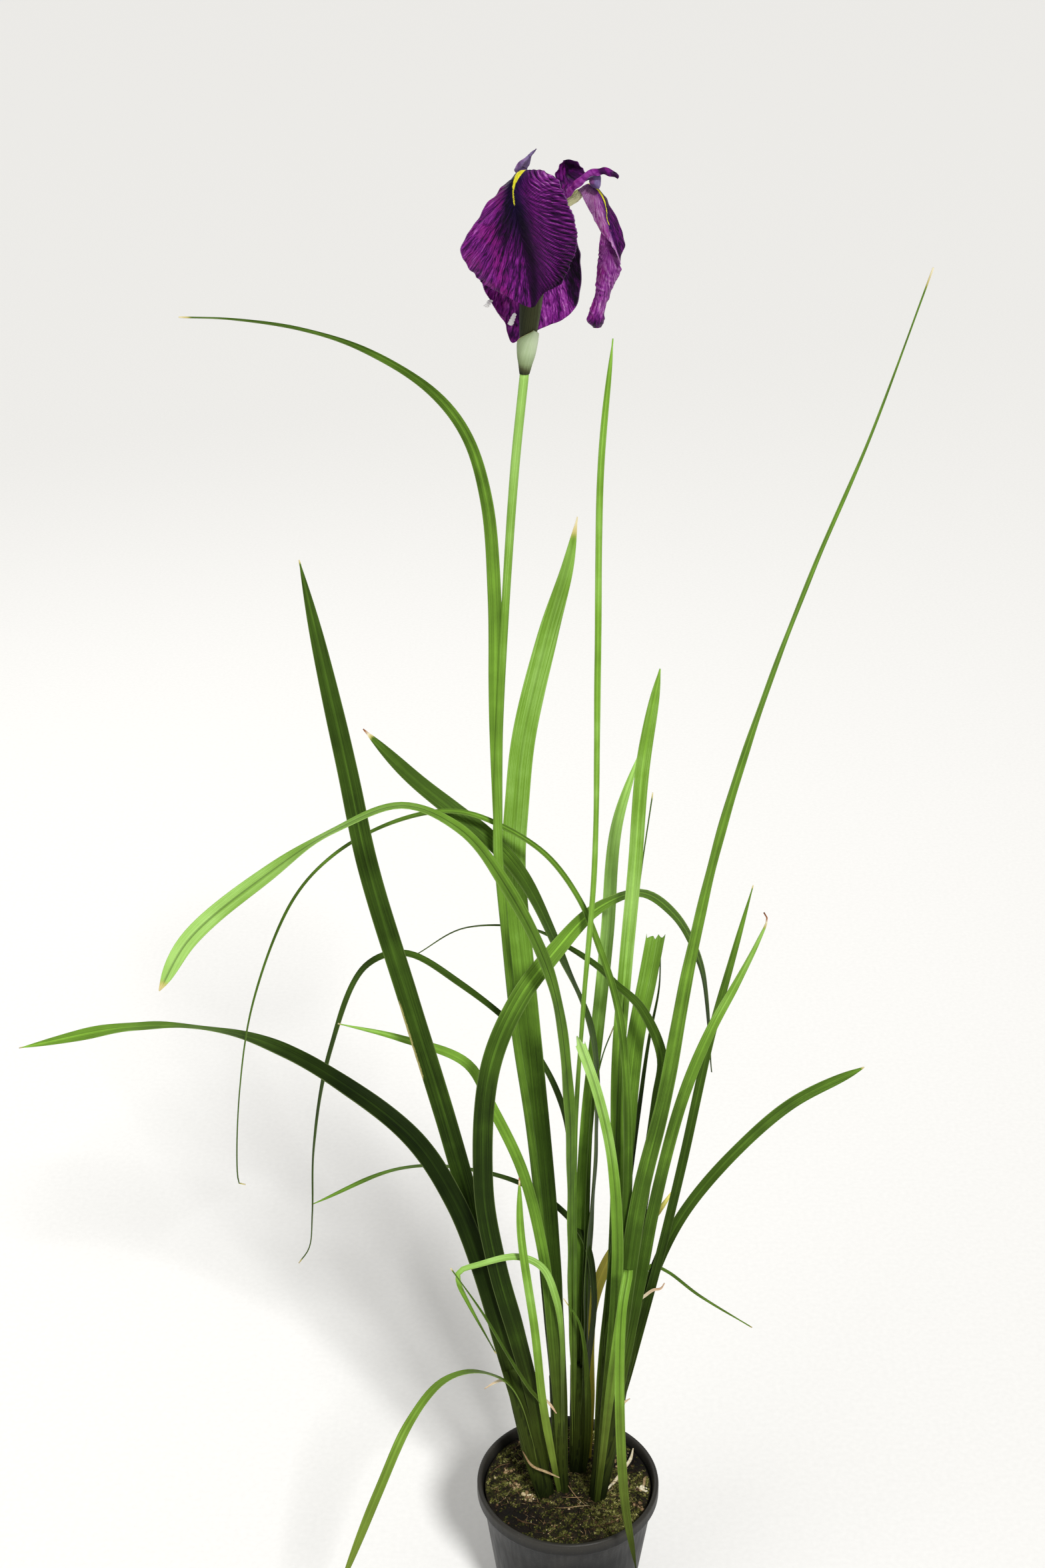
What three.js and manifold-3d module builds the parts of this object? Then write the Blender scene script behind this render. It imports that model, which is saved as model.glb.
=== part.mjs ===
// A Japanese iris in flower: rhizome, four leafy shoots and one bloom in a round pot.
// Millimetres, +Z up. The origin is the middle of the pot's underside, and the plant
// is seen from -Y, so x runs to the right and y runs away from the viewer.

import * as THREE from 'three';
import Module from 'manifold-3d';
import { mergeVertices } from 'three/addons/utils/BufferGeometryUtils.js';

const wasm = await Module();
wasm.setup();

// Pot
const POT_HEIGHT = 110;
const POT_BASE_RADIUS = 43;
const POT_TOP_RADIUS = 58.2;
const RIM_RADIUS = 60;
const RIM_DEPTH = 9;
const WALL = 1.6;
const FLOOR = 2.6;
const DRAIN_COUNT = 6;
const DRAIN_RADIUS = 4.5;
const DRAIN_CIRCLE = 29;

// Soil and rhizome
const GAP = 0.3;
const SOIL_EDGE = 104;
const SOIL_CROWN = 107;
const SOIL_RELIEF = 1.2;
const RHIZOME_LEVEL = 98;
const RHIZOME_RADIUS = 7.5;
const SOCKET_FLOOR = 97;
const SOCKET_ROOM = 2.6;
const CUT_TOP = 127;
const CUT_DEPTH = 20;
const CUT_WIDTH = 40;
const DEAD_SOCKET_DEPTH = 3.6;
const JOINT_SWELL = 0.08;

// Blades
const EDGE_THICK = 0.6;
const RIB_THICK = 1.3;
const RIB_GROWTH = 0.15;
const KEEL = 0.14;
const TIP_WIDTH = 0.7;
const NECK = 0.5;
const STATION = 26;

// Flower
const STEM_TOP = [-29, 0, 854];
const TUBE_TOP = [-22, 0, 932];
const PETAL_THICK = 0.8;
const BROAD_PETAL = 10;
const RUFFLE_WAVES = 14;
const RUFFLE_SHIFT = 2;

// Sides of the round pieces
const POT_SIDES = 48;
const SOIL_SIDES = 36;
const DRAIN_SIDES = 16;
const RHIZOME_SIDES = 12;
const RHIZOME_STEPS = 14;

const GREEN = { color: 0x5f8f2c, roughness: 0.5, metalness: 0 };
const PALE_GREEN = { color: 0x9cbf4c, roughness: 0.5, metalness: 0 };
const STRAW = { color: 0xc9a63c, roughness: 0.7, metalness: 0 };
const PURPLE = { color: 0x8e2f9e, roughness: 0.6, metalness: 0 };
const LILAC = { color: 0xc79ad8, roughness: 0.6, metalness: 0 };
const BROWN = { color: 0x6b5238, roughness: 0.85, metalness: 0 };
const MOSS = { color: 0x4a4a26, roughness: 0.95, metalness: 0 };
const BLACK = { color: 0x17181a, roughness: 0.5, metalness: 0 };

// The eye that the leaves are drawn from, level with the tips and in front of the pot.
const EYE = [-30, -1095, 1152];

// Each route runs from the base to the tip, as x, z and depth: x and z are where the eye
// sees the place in the upright plane through the pot's axis, and depth is how far behind
// that plane the place really lies, along the same line of sight. Width is the widest
// part of the blade, taper is how late it narrows, cut is what is left of the width at a
// broken tip, and turn is how far the blade is turned away from the eye, in degrees
// spread evenly along its length.
const LEFT_LEAVES = [
  {
    width: 12.5,
    taper: 9,
    turn: [10, 0, 0, 0, 15],
    route: [[-14, 86, -11], [-26, 160, -10], [-46, 254, -8], [-74, 385, -2], [-97, 480, 8],
      [-118, 568, 20], [-128, 631, 32], [-141, 707, 50], [-149, 753, 64]],
  },
  {
    width: 12.5,
    taper: 8,
    turn: [0, 0, 0, 0, 5, 8, 12, 28, 52, 82, 60, 25, 10],
    route: [[-14, 84, -13], [-23, 129, -13], [-39, 208, -14], [-56, 284, -14], [-72, 335, -12],
      [-97, 382, -8], [-144, 426, 2], [-182, 450, 16], [-217, 460, 32], [-260, 461, 48],
      [-329, 446, 80]],
  },
  {
    width: 12,
    taper: 6,
    turn: [0, 0, 0, 0, 0, 15, 60, 65, 60],
    route: [[-13, 88, -9], [-21, 166, -14], [-34, 231, -18], [-46, 285, -23], [-54, 346, -30],
      [-49, 433, -34], [-32, 480, -26], [-12, 511, -12], [11, 539, 6], [37, 551, 18],
      [57, 537, 28], [74, 502, 42], [83, 429, 60]],
  },
  {
    width: 6.5,
    taper: 12,
    turn: [0, 25, 50, 70, 75, 68, 35, 25, 20, 15, 10],
    route: [[-14, 85, -12], [-23, 143, -12], [-37, 192, -17], [-50, 204, -25], [-67, 200, -36],
      [-95, 174, -62], [-126, 97, -94], [-156, 7, -118]],
  },
];

const FLOWERING_LEAVES = [
  {
    width: 14,
    taper: 16,
    turn: [20, 10, 0, 0, 10],
    route: [[-3, 95, -2], [-6, 177, 1], [-11, 258, 4], [-16, 336, 9], [-24, 433, 13],
      [-30, 502, 17], [-35, 568, 18], [-33, 610, 20], [-29, 651, 24], [-16, 711, 34],
      [-6, 749, 44], [-1, 777, 52]],
  },
  {
    width: 6.8,
    taper: 9,
    turn: [20, 10, 0, 0, 0, 20],
    route: [[-4, 90, -7], [-6, 148, -9], [-10, 219, -10], [-17, 294, -8], [-30, 357, -4],
      [-48, 403, 0], [-63, 435, 8], [-103, 453, 26], [-139, 463, 44]],
  },
  {
    width: 5.2,
    taper: 14,
    turn: [20, 0, 0, 10],
    route: [[-4, 89, -8], [-10, 126, -16], [-17, 176, -20], [-22, 232, -26], [-31, 310, -36],
      [-32, 352, -42]],
  },
  {
    width: 5,
    taper: 5,
    turn: [60, 60, 60, 20, 20, 50],
    route: [[-2, 91, -6], [-4, 172, -8], [-5, 230, -11], [-9, 260, -15], [-18, 284, -20],
      [-34, 292, -28], [-57, 286, -40], [-70, 280, -46], [-70, 271, -47], [-65, 257, -47],
      [-47, 215, -48]],
  },
  {
    width: 3,
    taper: 3,
    turn: [40],
    route: [[-4, 89, -7.5], [-9, 125, -11.5], [-17, 172, -18], [-26, 187, -24], [-40, 215, -34],
      [-55, 247, -44], [-75, 283, -58]],
  },
  {
    width: 8,
    taper: 2.4,
    turn: [0, 0, 0, 0, 15, 40, 55, 55],
    route: [[-44, 583, 0], [-45, 651, 0], [-45, 730, 0], [-49, 786, 0], [-59, 821, -4],
      [-76, 844, -10], [-110, 866, -24], [-143, 877, -42], [-177, 882, -60], [-204, 883, -76]],
  },
];

const CENTRE_LEAVES = [
  {
    width: 10,
    taper: 30,
    turn: [50, 60, 62, 65, 62, 58, 55, 50, 52, 62, 74, 22, 0],
    route: [[5, 107, 10], [4, 148, 11], [2, 231, 6], [0, 315, -4], [-2, 409, -22], [-13, 493, -36],
      [-39, 555, -40], [-65, 592, -40], [-97, 607, -40], [-137, 591, -44], [-176, 563, -56],
      [-223, 520.5, -84], [-243, 485.5, -104]],
  },
  {
    width: 3.4,
    taper: 14,
    turn: [30, 45, 50, 40, 20, 10],
    route: [[6, 106, 9], [4, 176, 9], [3, 283, 3], [2, 385, -3], [6, 479, -9], [11, 568, -12],
      [11, 691, -14], [11, 805, -20], [16, 872, -26]],
  },
  {
    width: 8,
    taper: 20,
    turn: [20, 20, 10, 0, 0],
    route: [[7, 108, 12], [6, 204, 15], [6, 310, 18], [9, 394, 22], [14, 456, 25], [19, 524, 28],
      [23, 593, 34], [35, 640, 48]],
  },
  {
    width: 11,
    taper: 24,
    turn: [40, 60, 75, 78, 78, 76, 50, 20, 0],
    route: [[8, 107, 10], [10, 177, 12], [11, 284, 13], [15, 384, 12], [11, 458, 10], [-6, 506, 9],
      [-28, 558, 10], [-45, 582, 11], [-69, 604, 18], [-91, 624, 30], [-118, 654, 54]],
  },
  {
    width: 5,
    taper: 4,
    turn: [0, 30, 50, 40, 30, 60, 50],
    route: [[6, 109, 13], [6, 150, 13], [4, 232, 15], [2, 335, 18], [-6, 405, 23], [-28, 452, 28],
      [-67, 491, 34], [-97, 511, 44], [-121, 503, 54], [-145, 442, 66], [-158, 365, 76],
      [-162, 310, 84], [-171, 286, 88]],
  },
  {
    width: 5,
    taper: 12,
    turn: [30, 40, 50, 50, 45, 45, 50, 68, 76, 50, 20],
    route: [[8, 109, 13], [12, 201, 12], [15, 266, 10], [7, 309, 16], [-23, 343, 34],
      [-65, 359, 52], [-105, 359, 72], [-160, 332, 98]],
  },
  {
    width: 4.5,
    taper: 3,
    turn: [0],
    route: [[9, 105, 8], [12, 131, 7], [12, 188, 2], [6, 240, -3], [-4, 259, -5]],
  },
  {
    width: 4,
    taper: 3,
    turn: [20],
    route: [[8, 108, 12], [11, 376, 12], [13, 414, 10], [18, 442, 8], [24, 461, 6]],
  },
];

const RIGHT_LEAVES = [
  {
    width: 13,
    taper: 1.3,
    turn: [0, 0, 0, 0, 15, 28, 42, 52, 56, 50, 30],
    route: [[19, 81, -16], [23, 131, -16], [32, 231, -18], [42, 336, -22], [55, 409, -25],
      [67, 502, -30], [82, 589, -38], [102, 671, -48], [126, 750, -60], [150, 819, -74],
      [176, 908, -96]],
  },
  {
    width: 7.5,
    taper: 1.2,
    turn: [20, 0, 10, 30, 40, 40, 40, 40],
    route: [[18, 83, -14], [25, 148, -14], [33, 284, -16], [34, 385, -18], [27, 470, -14],
      [14, 517, -8], [3, 546, -2], [-16, 575, 3], [-40, 593, 6], [-65, 603, 9], [-99, 598, 28],
      [-138, 575, 42], [-162, 546, 36], [-188, 479, 16], [-200, 414, 0], [-205, 351, -10]],
  },
  {
    width: 8,
    taper: 16,
    turn: [10, 0, 0, 10],
    route: [[19, 85, -12], [23, 132, -13], [26, 232, -10], [28, 335, -5], [27, 433, 0],
      [30, 502, 2], [34, 568, -2], [37, 631, -8], [45, 690, -16]],
  },
  {
    width: 4,
    taper: 2.5,
    turn: [20],
    route: [[19, 84, -13], [23, 222, -10], [27, 336, -6], [28, 409, -2], [30, 475, 2],
      [36, 549, 6], [43, 615, 12]],
  },
  {
    width: 10.5,
    taper: 6,
    cut: 0.9,
    turn: [0, 10, 30, 20, 0],
    route: [[19, 84, -13], [24, 204, -10], [30, 310, -5], [33, 385, 1], [37, 452, 6],
      [43, 493, 10], [47, 522, 14]],
  },
  {
    width: 7.5,
    taper: 4,
    turn: [0, 0, 0, 20, 0, 0, 50, 70, 70],
    route: [[19, 84, -13], [25, 148, -13], [36, 258, -13], [44, 335, -13], [51, 410, -14],
      [53, 440, -14], [39, 475, -12], [25, 490, -4], [14, 502, 12], [-3, 515, 28], [-24, 527, 40],
      [-63, 528, 50], [-92, 510, 60]],
  },
  {
    width: 5.6,
    taper: 12,
    turn: [0, 0, 10, 20],
    route: [[19, 84, -13], [25, 131, -14], [41, 215, -12], [56, 294, -10], [68, 365, -6],
      [81, 451, 2], [92, 507, 12], [102, 556, 24]],
  },
  {
    width: 7.5,
    taper: 8,
    turn: [0, 0, 10, 30],
    route: [[19, 81, -16], [27, 147, -16], [44, 273, -18], [52, 335, -20], [66, 409, -24],
      [81.6, 459, -30], [95.7, 491.7, -36], [106.8, 519.7, -42], [111, 534, -46], [109, 538, -47]],
  },
  {
    width: 7,
    taper: 20,
    turn: [0, 0, 10, 20],
    route: [[19, 83, -14], [25, 131, -14], [39, 215, -12], [54, 285, -8], [71, 328, -4],
      [99.5, 371, 4], [132, 406.5, 20], [174, 432.5, 40]],
  },
  {
    width: 6,
    taper: 20,
    turn: [0, 0, 0, 0],
    route: [[19, 79, -18], [22, 119, -19], [27, 187, -23], [33, 252, -31], [36, 282, -40],
      [36, 278, -44], [33, 250, -48], [33, 176, -58], [38, 91, -70], [47, 29, -76]],
  },
  {
    width: 7.5,
    taper: 6,
    cut: 0.8,
    turn: [10, 0, 0, 10],
    route: [[19, 80, -17], [25, 177, -18], [29, 258, -20], [29, 310, -24], [24, 370, -28],
      [15, 414, -30], [3.5, 451.5, -30]],
  },
  {
    width: 2.2,
    taper: 8,
    turn: [30],
    route: [[19, 84, -13], [33, 187, -12], [44, 258, -10], [50, 285, -8], [60, 281, -4],
      [81, 262, 6], [116, 236, 24]],
  },
  {
    width: 3.5,
    taper: 5,
    turn: [30],
    route: [[18, 88, -13], [30, 280, -2], [40, 400, 10], [45, 452, 15], [50, 488, 18],
      [50, 515, 20]],
  },
];

const DEAD_LEAF = {
  width: 7.5,
  taper: 5,
  turn: [0, 0, 0, 0],
  route: [[13, 119, 23], [13, 171, 24], [12, 226, 25], [14, 255, 24], [27, 297, 20], [53, 326, 14],
    [64, 345, 18]],
};

const STEM = [
  { at: [-3, -5, 97], wide: 7 },
  { at: [-9, -5, 192], wide: 6 },
  { at: [-16, -3, 287], wide: 5.4 },
  { at: [-25, -1, 386], wide: 5.2 },
  { at: [-34, 0, 456], wide: 5 },
  { at: [-40, 0, 524], wide: 4.8 },
  { at: [-44, 0, 580], wide: 5.6 },
  { at: [-44, 0, 586], wide: 5.6 },
  { at: [-43, 0, 651], wide: 4.4 },
  { at: [-39, 0, 730], wide: 4.4 },
  { at: [-34, 0, 804], wide: 4.8 },
  { at: STEM_TOP, wide: 4.8 },
];

// The sheath is the flat bundle that a shoot's leaves grow out of.
const SHOOTS = {
  left_shoot: {
    foot: [-14, -11],
    leaves: LEFT_LEAVES,
    sheath: [
      { at: [-14, -11, 97], wide: 10, deep: 7 },
      { at: [-16, -11, 112], wide: 13, deep: 7 },
      { at: [-22, -11, 140], wide: 15, deep: 6 },
      { at: [-29, -12, 180], wide: 15, deep: 5 },
      { at: [-36, -13, 214], wide: 13, deep: 4 },
    ],
  },
  flowering_shoot: {
    foot: [-3, -5],
    leaves: FLOWERING_LEAVES,
    stem: STEM,
    sheath: [
      { at: [-3, -5, 97], wide: 9.5, deep: 10.5 },
      { at: [-5, -5, 125], wide: 9, deep: 10 },
      { at: [-7, -5, 160], wide: 9, deep: 9 },
      { at: [-9, -4, 200], wide: 8, deep: 8 },
    ],
  },
  centre_shoot: {
    foot: [7, 11],
    leaves: CENTRE_LEAVES,
    sheath: [
      { at: [7, 11, 97], wide: 11, deep: 8 },
      { at: [7, 11, 120], wide: 12, deep: 8 },
      { at: [7, 12, 160], wide: 12, deep: 7 },
      { at: [6, 12, 195], wide: 10, deep: 6 },
    ],
  },
  right_shoot: {
    foot: [18, -14],
    leaves: RIGHT_LEAVES,
    sheath: [
      { at: [18, -14, 97], wide: 10, deep: 8 },
      { at: [20, -14, 115], wide: 12, deep: 8 },
      { at: [24, -14, 150], wide: 15, deep: 7 },
      { at: [28, -14, 200], wide: 18, deep: 6 },
      { at: [33, -13, 250], wide: 18, deep: 4 },
    ],
  },
};

const RHIZOME_PATHS = [
  [[-24, -14], [-14, -11], [-3, -5], [8, -8], [18, -14], [30, -19]],
  [[-3, -5], [3, 4], [7, 11], [10, 20]],
];

// Petals follow a spine from the throat outwards. Heading is the way the petal faces in
// degrees from +X, and widths are half widths, evenly along the spine.
const PETALS = {
  fall_front: {
    look: PURPLE,
    heading: -100,
    spine: [[-23, -5.6, 932.6], [-25, -13, 951], [-25, -21, 958], [-27, -29, 948],
      [-31, -35, 930], [-32, -36, 914], [-26, -35, 896]],
    widths: [2.5, 3, 4.5, 10, 18, 25, 30, 25, 8],
    droop: 0.3,
    ruffle: 1.6,
  },
  fall_right: {
    look: PURPLE,
    heading: 10,
    spine: [[-16.4, 1, 932.6], [-9, 2, 944], [0, 2, 950], [9, 3, 945], [15, 4, 930],
      [19, 5, 915], [17, 6, 897], [10, 6, 878]],
    widths: [2.5, 4, 7, 11, 16, 19, 17, 12, 4],
    droop: 0.5,
    ruffle: 1.4,
  },
  fall_back: {
    look: PURPLE,
    heading: 98,
    spine: [[-23, 5.6, 932.6], [-25, 12, 946], [-26, 20, 949], [-27, 27, 938],
      [-27, 30, 919], [-27, 30, 900], [-29, 28, 880], [-32, 26, 864]],
    widths: [2.5, 5, 10, 17, 23, 26, 27, 23, 8],
    droop: 0.3,
    ruffle: 1.6,
  },
  standard_back: {
    look: PURPLE,
    heading: 55,
    spine: [[-18.8, 4.4, 932.6], [-15, 7, 947], [-11, 10, 955], [-8, 12, 958]],
    widths: [1.5, 2, 4, 6, 5, 1.5],
    droop: 0.2,
    ruffle: 0.5,
  },
  standard_right: {
    look: PURPLE,
    heading: -30,
    spine: [[-18.2, -4.2, 932.6], [-11, -6, 948], [0, -9, 958], [10, -12, 958], [17, -14, 952]],
    widths: [1.5, 2, 4, 5, 4, 1.2],
    droop: 0.2,
    ruffle: 0.5,
  },
  standard_left: {
    look: PURPLE,
    heading: 165,
    spine: [[-27.4, 1.6, 933], [-30, 4, 942], [-32, 6, 948], [-33, 7, 951]],
    widths: [1.5, 2, 3.5, 4.5, 4, 1.2],
    droop: 0.2,
    ruffle: 0.4,
  },
};

const STYLE_ARMS = [
  { heading: -100, spine: [[-22, -1, 937], [-25, -6, 951], [-27, -11, 961], [-25, -14, 969]] },
  { heading: 10, spine: [[-21, 0, 937], [-13, 1, 951], [-4, 1, 957], [5, 1, 955]] },
  { heading: 98, spine: [[-22, 1, 937], [-24, 9, 951], [-26, 16, 957], [-27, 22, 954]] },
];
const STYLE_WIDTHS = [1.6, 2.4, 3.2, 3.6, 2.4, 1];

// The tube's shares of its length, from the stem to the throat that the petals stand on.
const TUBE = [
  { along: 0, radius: 2.4 },
  { along: 0.12, radius: 2.3 },
  { along: 0.3, radius: 3 },
  { along: 0.5, radius: 2.6 },
  { along: 0.7, radius: 2.2 },
  { along: 0.86, radius: 2.8 },
  { along: 0.94, radius: 4.4 },
  { along: 1, radius: 7 },
];

// Bracts clasp the tube. Radius is measured to the middle of the bract's thickness.
const BRACTS = {
  spathe_inner: { from: 0.08, to: 0.66, heading: 90, radii: [3, 3.9, 4.4, 5, 5, 4.4] },
  spathe_outer: { from: -0.01, to: 0.36, heading: -95, radii: [2.95, 4.1, 4.9, 5.3, 5.5, 5.6] },
};
const BRACT_THICK = 0.6;
const BRACT_WRAP = 150;

function vector(place) {
  return new THREE.Vector3(...place);
}

// The real place of a route's point: slid along the line of sight to its depth.
function placeSeen([x, z, depth]) {
  const [eyeX, eyeY, eyeZ] = EYE;
  const share = (depth - eyeY) / -eyeY;
  return [eyeX + (x - eyeX) * share, depth, eyeZ + (z - eyeZ) * share];
}

function curveThrough(places) {
  return new THREE.CatmullRomCurve3(places.map(vector), false, 'centripetal');
}

// Reads a list of evenly spaced values at a share t from 0 to 1, eased between them.
function sample(values, t) {
  if (values.length === 1) return values[0];
  const place = t * (values.length - 1);
  const first = Math.min(Math.floor(place), values.length - 2);
  const share = THREE.MathUtils.smoothstep(place - first, 0, 1);
  return THREE.MathUtils.lerp(values[first], values[first + 1], share);
}

// Signed volume of a closed triangle mesh, positive where its faces point outwards.
function signedVolume(points, triangles) {
  let total = 0;
  for (let i = 0; i < triangles.length; i += 3) {
    const [a, b, c] = [0, 1, 2].map((k) => points[triangles[i + k]]);
    total += a.dot(b.clone().cross(c)) / 6;
  }
  return total;
}

function solidFrom(points, triangles) {
  if (signedVolume(points, triangles) < 0) triangles.reverse();
  const vertProperties = new Float32Array(points.flatMap((p) => p.toArray()));
  const triVerts = new Uint32Array(triangles);
  return new wasm.Manifold(new wasm.Mesh({ numProp: 3, vertProperties, triVerts }));
}

function solidFromGeometry(geometry) {
  geometry.deleteAttribute('normal');
  geometry.deleteAttribute('uv');
  const merged = mergeVertices(geometry, 1e-4);
  const place = merged.getAttribute('position');
  const points = [];
  for (let i = 0; i < place.count; i += 1) {
    points.push(new THREE.Vector3().fromBufferAttribute(place, i));
  }
  return solidFrom(points, Array.from(merged.index.array));
}

// A closed body through rings of points. Each ring is an upper row from left to right,
// then a lower row from right to left, and both rows are cut into triangles alike.
function loft(rings) {
  const size = rings[0].length;
  const row = size / 2;
  const triangles = [];
  const quad = (a, b, c, d) => triangles.push(a, b, c, a, c, d);
  for (let j = 0; j < rings.length - 1; j += 1) {
    for (let k = 0; k < size; k += 1) {
      const next = (k + 1) % size;
      const [a, b] = [j * size + k, j * size + next];
      const [c, d] = [b + size, a + size];
      if (k < row) quad(a, b, c, d);
      else quad(b, c, d, a);
    }
  }
  const last = (rings.length - 1) * size;
  for (let k = 0; k < row - 1; k += 1) {
    const [left, right] = [size - 1 - k, size - 2 - k];
    quad(k, left, right, k + 1);
    quad(last + k, last + k + 1, last + right, last + left);
  }
  return solidFrom(rings.flat(), triangles);
}

// The blade's own directions at a share t of its curve: along, across and out of its face.
// Without a turn the face looks at the eye.
function bladeFrame(curve, t, turn) {
  const along = curve.getTangentAt(t);
  const face = vector(EYE).sub(curve.getPointAt(t));
  face.addScaledVector(along, -face.dot(along)).normalize();
  face.applyAxisAngle(along, THREE.MathUtils.degToRad(turn));
  return { along, face, across: along.clone().cross(face) };
}

// A strap leaf: a flat blade with a rib down the middle and a shallow keel.
function blade({ route, width, taper, turn, cut = 0 }) {
  const curve = curveThrough(route.map(placeSeen));
  const steps = THREE.MathUtils.clamp(Math.round(curve.getLength() / STATION), 8, 34);
  const rings = [];
  for (let i = 0; i <= steps; i += 1) {
    const t = i / steps;
    const { face, across } = bladeFrame(curve, t, sample(turn, t));
    const neck = THREE.MathUtils.lerp(NECK, 1, Math.min(1, 4 * t));
    const shape = neck * Math.max(1 - t ** taper, cut);
    const half = Math.max(width * shape, TIP_WIDTH) / 2;
    const rib = Math.min(RIB_THICK, EDGE_THICK + RIB_GROWTH * half) / 2;
    const at = (side, lift) => curve.getPointAt(t)
      .addScaledVector(across, side * half)
      .addScaledVector(face, lift - KEEL * half * (1 - Math.abs(side)));
    const edge = EDGE_THICK / 2;
    rings.push([at(-1, edge), at(0, rib), at(1, edge), at(1, -edge), at(0, -rib), at(-1, -edge)]);
  }
  return loft(rings);
}

// A bar of oval section through stations that give its place, width and depth.
function bar(stations, grow = 0, sides = 10) {
  const curve = curveThrough(stations.map((station) => station.at));
  const rings = stations.map((station) => {
    const centre = vector(station.at);
    const near = stations.indexOf(station) / (stations.length - 1);
    const { face, across } = bladeFrame(curve, near, 0);
    const half = station.wide / 2 + grow;
    const deep = (station.deep ?? station.wide) / 2 + grow;
    return Array.from({ length: sides }, (unused, k) => {
      const angle = Math.PI * (1 - (2 * k + 1) / sides);
      return centre.clone()
        .addScaledVector(across, half * Math.cos(angle))
        .addScaledVector(face, deep * Math.sin(angle));
    });
  });
  return loft(rings);
}

function join(solids) {
  return solids.reduce((whole, solid) => whole.add(solid));
}

// The straight foot of a shoot, which stands in a plain hole.
function foot([x, y], wide, deep, bottom, top, grow) {
  return bar([
    { at: [x, y, bottom], wide, deep },
    { at: [x, y, top], wide, deep },
  ], grow);
}

function shoot({ foot: place, leaves, sheath, stem }) {
  const bottom = SOCKET_FLOOR - CUT_DEPTH;
  const floor = foot(place, CUT_WIDTH, CUT_WIDTH, bottom, SOCKET_FLOOR + GAP, 0);
  const bars = stem ? [bar(sheath), bar(stem)] : [bar(sheath)];
  return join([...bars, ...leaves.map(blade)]).subtract(floor);
}

function sockets(bottom, grow) {
  const holes = Object.values(SHOOTS).map(({ foot: place, sheath }) => {
    const [low, high] = sheath;
    const wide = Math.max(low.wide, high.wide) + SOCKET_ROOM;
    const deep = Math.max(low.deep, high.deep) + SOCKET_ROOM;
    return foot(place, wide, deep, bottom, CUT_TOP, grow);
  });
  return join(holes);
}

function deadLeafSocket(grow) {
  const [x, y] = placeSeen(DEAD_LEAF.route[0]);
  const bottom = SOCKET_FLOOR - 2 * GAP;
  return foot([x, y], DEAD_LEAF.width + 1, DEAD_SOCKET_DEPTH, bottom, CUT_TOP, grow);
}

// The rhizome creeps level with the soil and swells at each joint.
function rhizome(grow) {
  const arms = RHIZOME_PATHS.map((path) => {
    const curve = curveThrough(path.map(([x, y]) => [x, y, RHIZOME_LEVEL]));
    const stations = [];
    for (let i = 0; i <= RHIZOME_STEPS; i += 1) {
      const t = i / RHIZOME_STEPS;
      const swell = 1 + JOINT_SWELL * Math.cos(i * Math.PI);
      const end = Math.sqrt(Math.min(1, 0.12 + 6 * Math.min(t, 1 - t)));
      const radius = RHIZOME_RADIUS * swell * end + grow;
      const centre = curve.getPointAt(t);
      const { along } = bladeFrame(curve, t, 0);
      const side = new THREE.Vector3(-along.y, along.x, 0).normalize();
      stations.push(Array.from({ length: RHIZOME_SIDES }, (unused, k) => {
        const angle = Math.PI * (1 - (2 * k + 1) / RHIZOME_SIDES);
        return centre.clone()
          .addScaledVector(side, radius * Math.cos(angle))
          .add(new THREE.Vector3(0, 0, radius * Math.sin(angle)));
      }));
    }
    return loft(stations);
  });
  return join(arms);
}

function potGeometry() {
  const innerBase = POT_BASE_RADIUS - WALL;
  const innerTop = POT_TOP_RADIUS - WALL;
  const profile = [
    [0, 0], [POT_BASE_RADIUS - 1, 0], [POT_BASE_RADIUS, 1],
    [POT_TOP_RADIUS, POT_HEIGHT - RIM_DEPTH], [RIM_RADIUS, POT_HEIGHT - RIM_DEPTH],
    [RIM_RADIUS, POT_HEIGHT - 1], [RIM_RADIUS - 1, POT_HEIGHT], [innerTop, POT_HEIGHT],
    [innerBase, FLOOR], [0, FLOOR],
  ];
  return new THREE.LatheGeometry(profile.map(([r, z]) => new THREE.Vector2(r, z)), POT_SIDES);
}

// Lathe shapes turn about Y, so they are stood up along Z.
function upright(geometry) {
  return geometry.rotateX(Math.PI / 2);
}

function pot() {
  let body = solidFromGeometry(upright(potGeometry()));
  for (let i = 0; i < DRAIN_COUNT; i += 1) {
    const angle = (2 * Math.PI * i) / DRAIN_COUNT;
    const drill = upright(
      new THREE.CylinderGeometry(DRAIN_RADIUS, DRAIN_RADIUS, 4 * FLOOR, DRAIN_SIDES),
    );
    drill.translate(DRAIN_CIRCLE * Math.cos(angle), DRAIN_CIRCLE * Math.sin(angle), FLOOR / 2);
    body = body.subtract(solidFromGeometry(drill));
  }
  return body;
}

// Height of the mossy soil at a place, without its edge: a low crown with soft lumps.
function soilHeight(x, y) {
  const radius = Math.hypot(x, y) / POT_TOP_RADIUS;
  const crown = (SOIL_CROWN - SOIL_EDGE) * (1 - radius ** 2);
  const lumps = Math.sin(0.31 * x + 1.3) * Math.cos(0.27 * y - 0.4)
    + 0.6 * Math.sin(0.53 * x - 0.47 * y);
  return SOIL_EDGE + crown + SOIL_RELIEF * lumps * (1 - radius ** 6);
}

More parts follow.
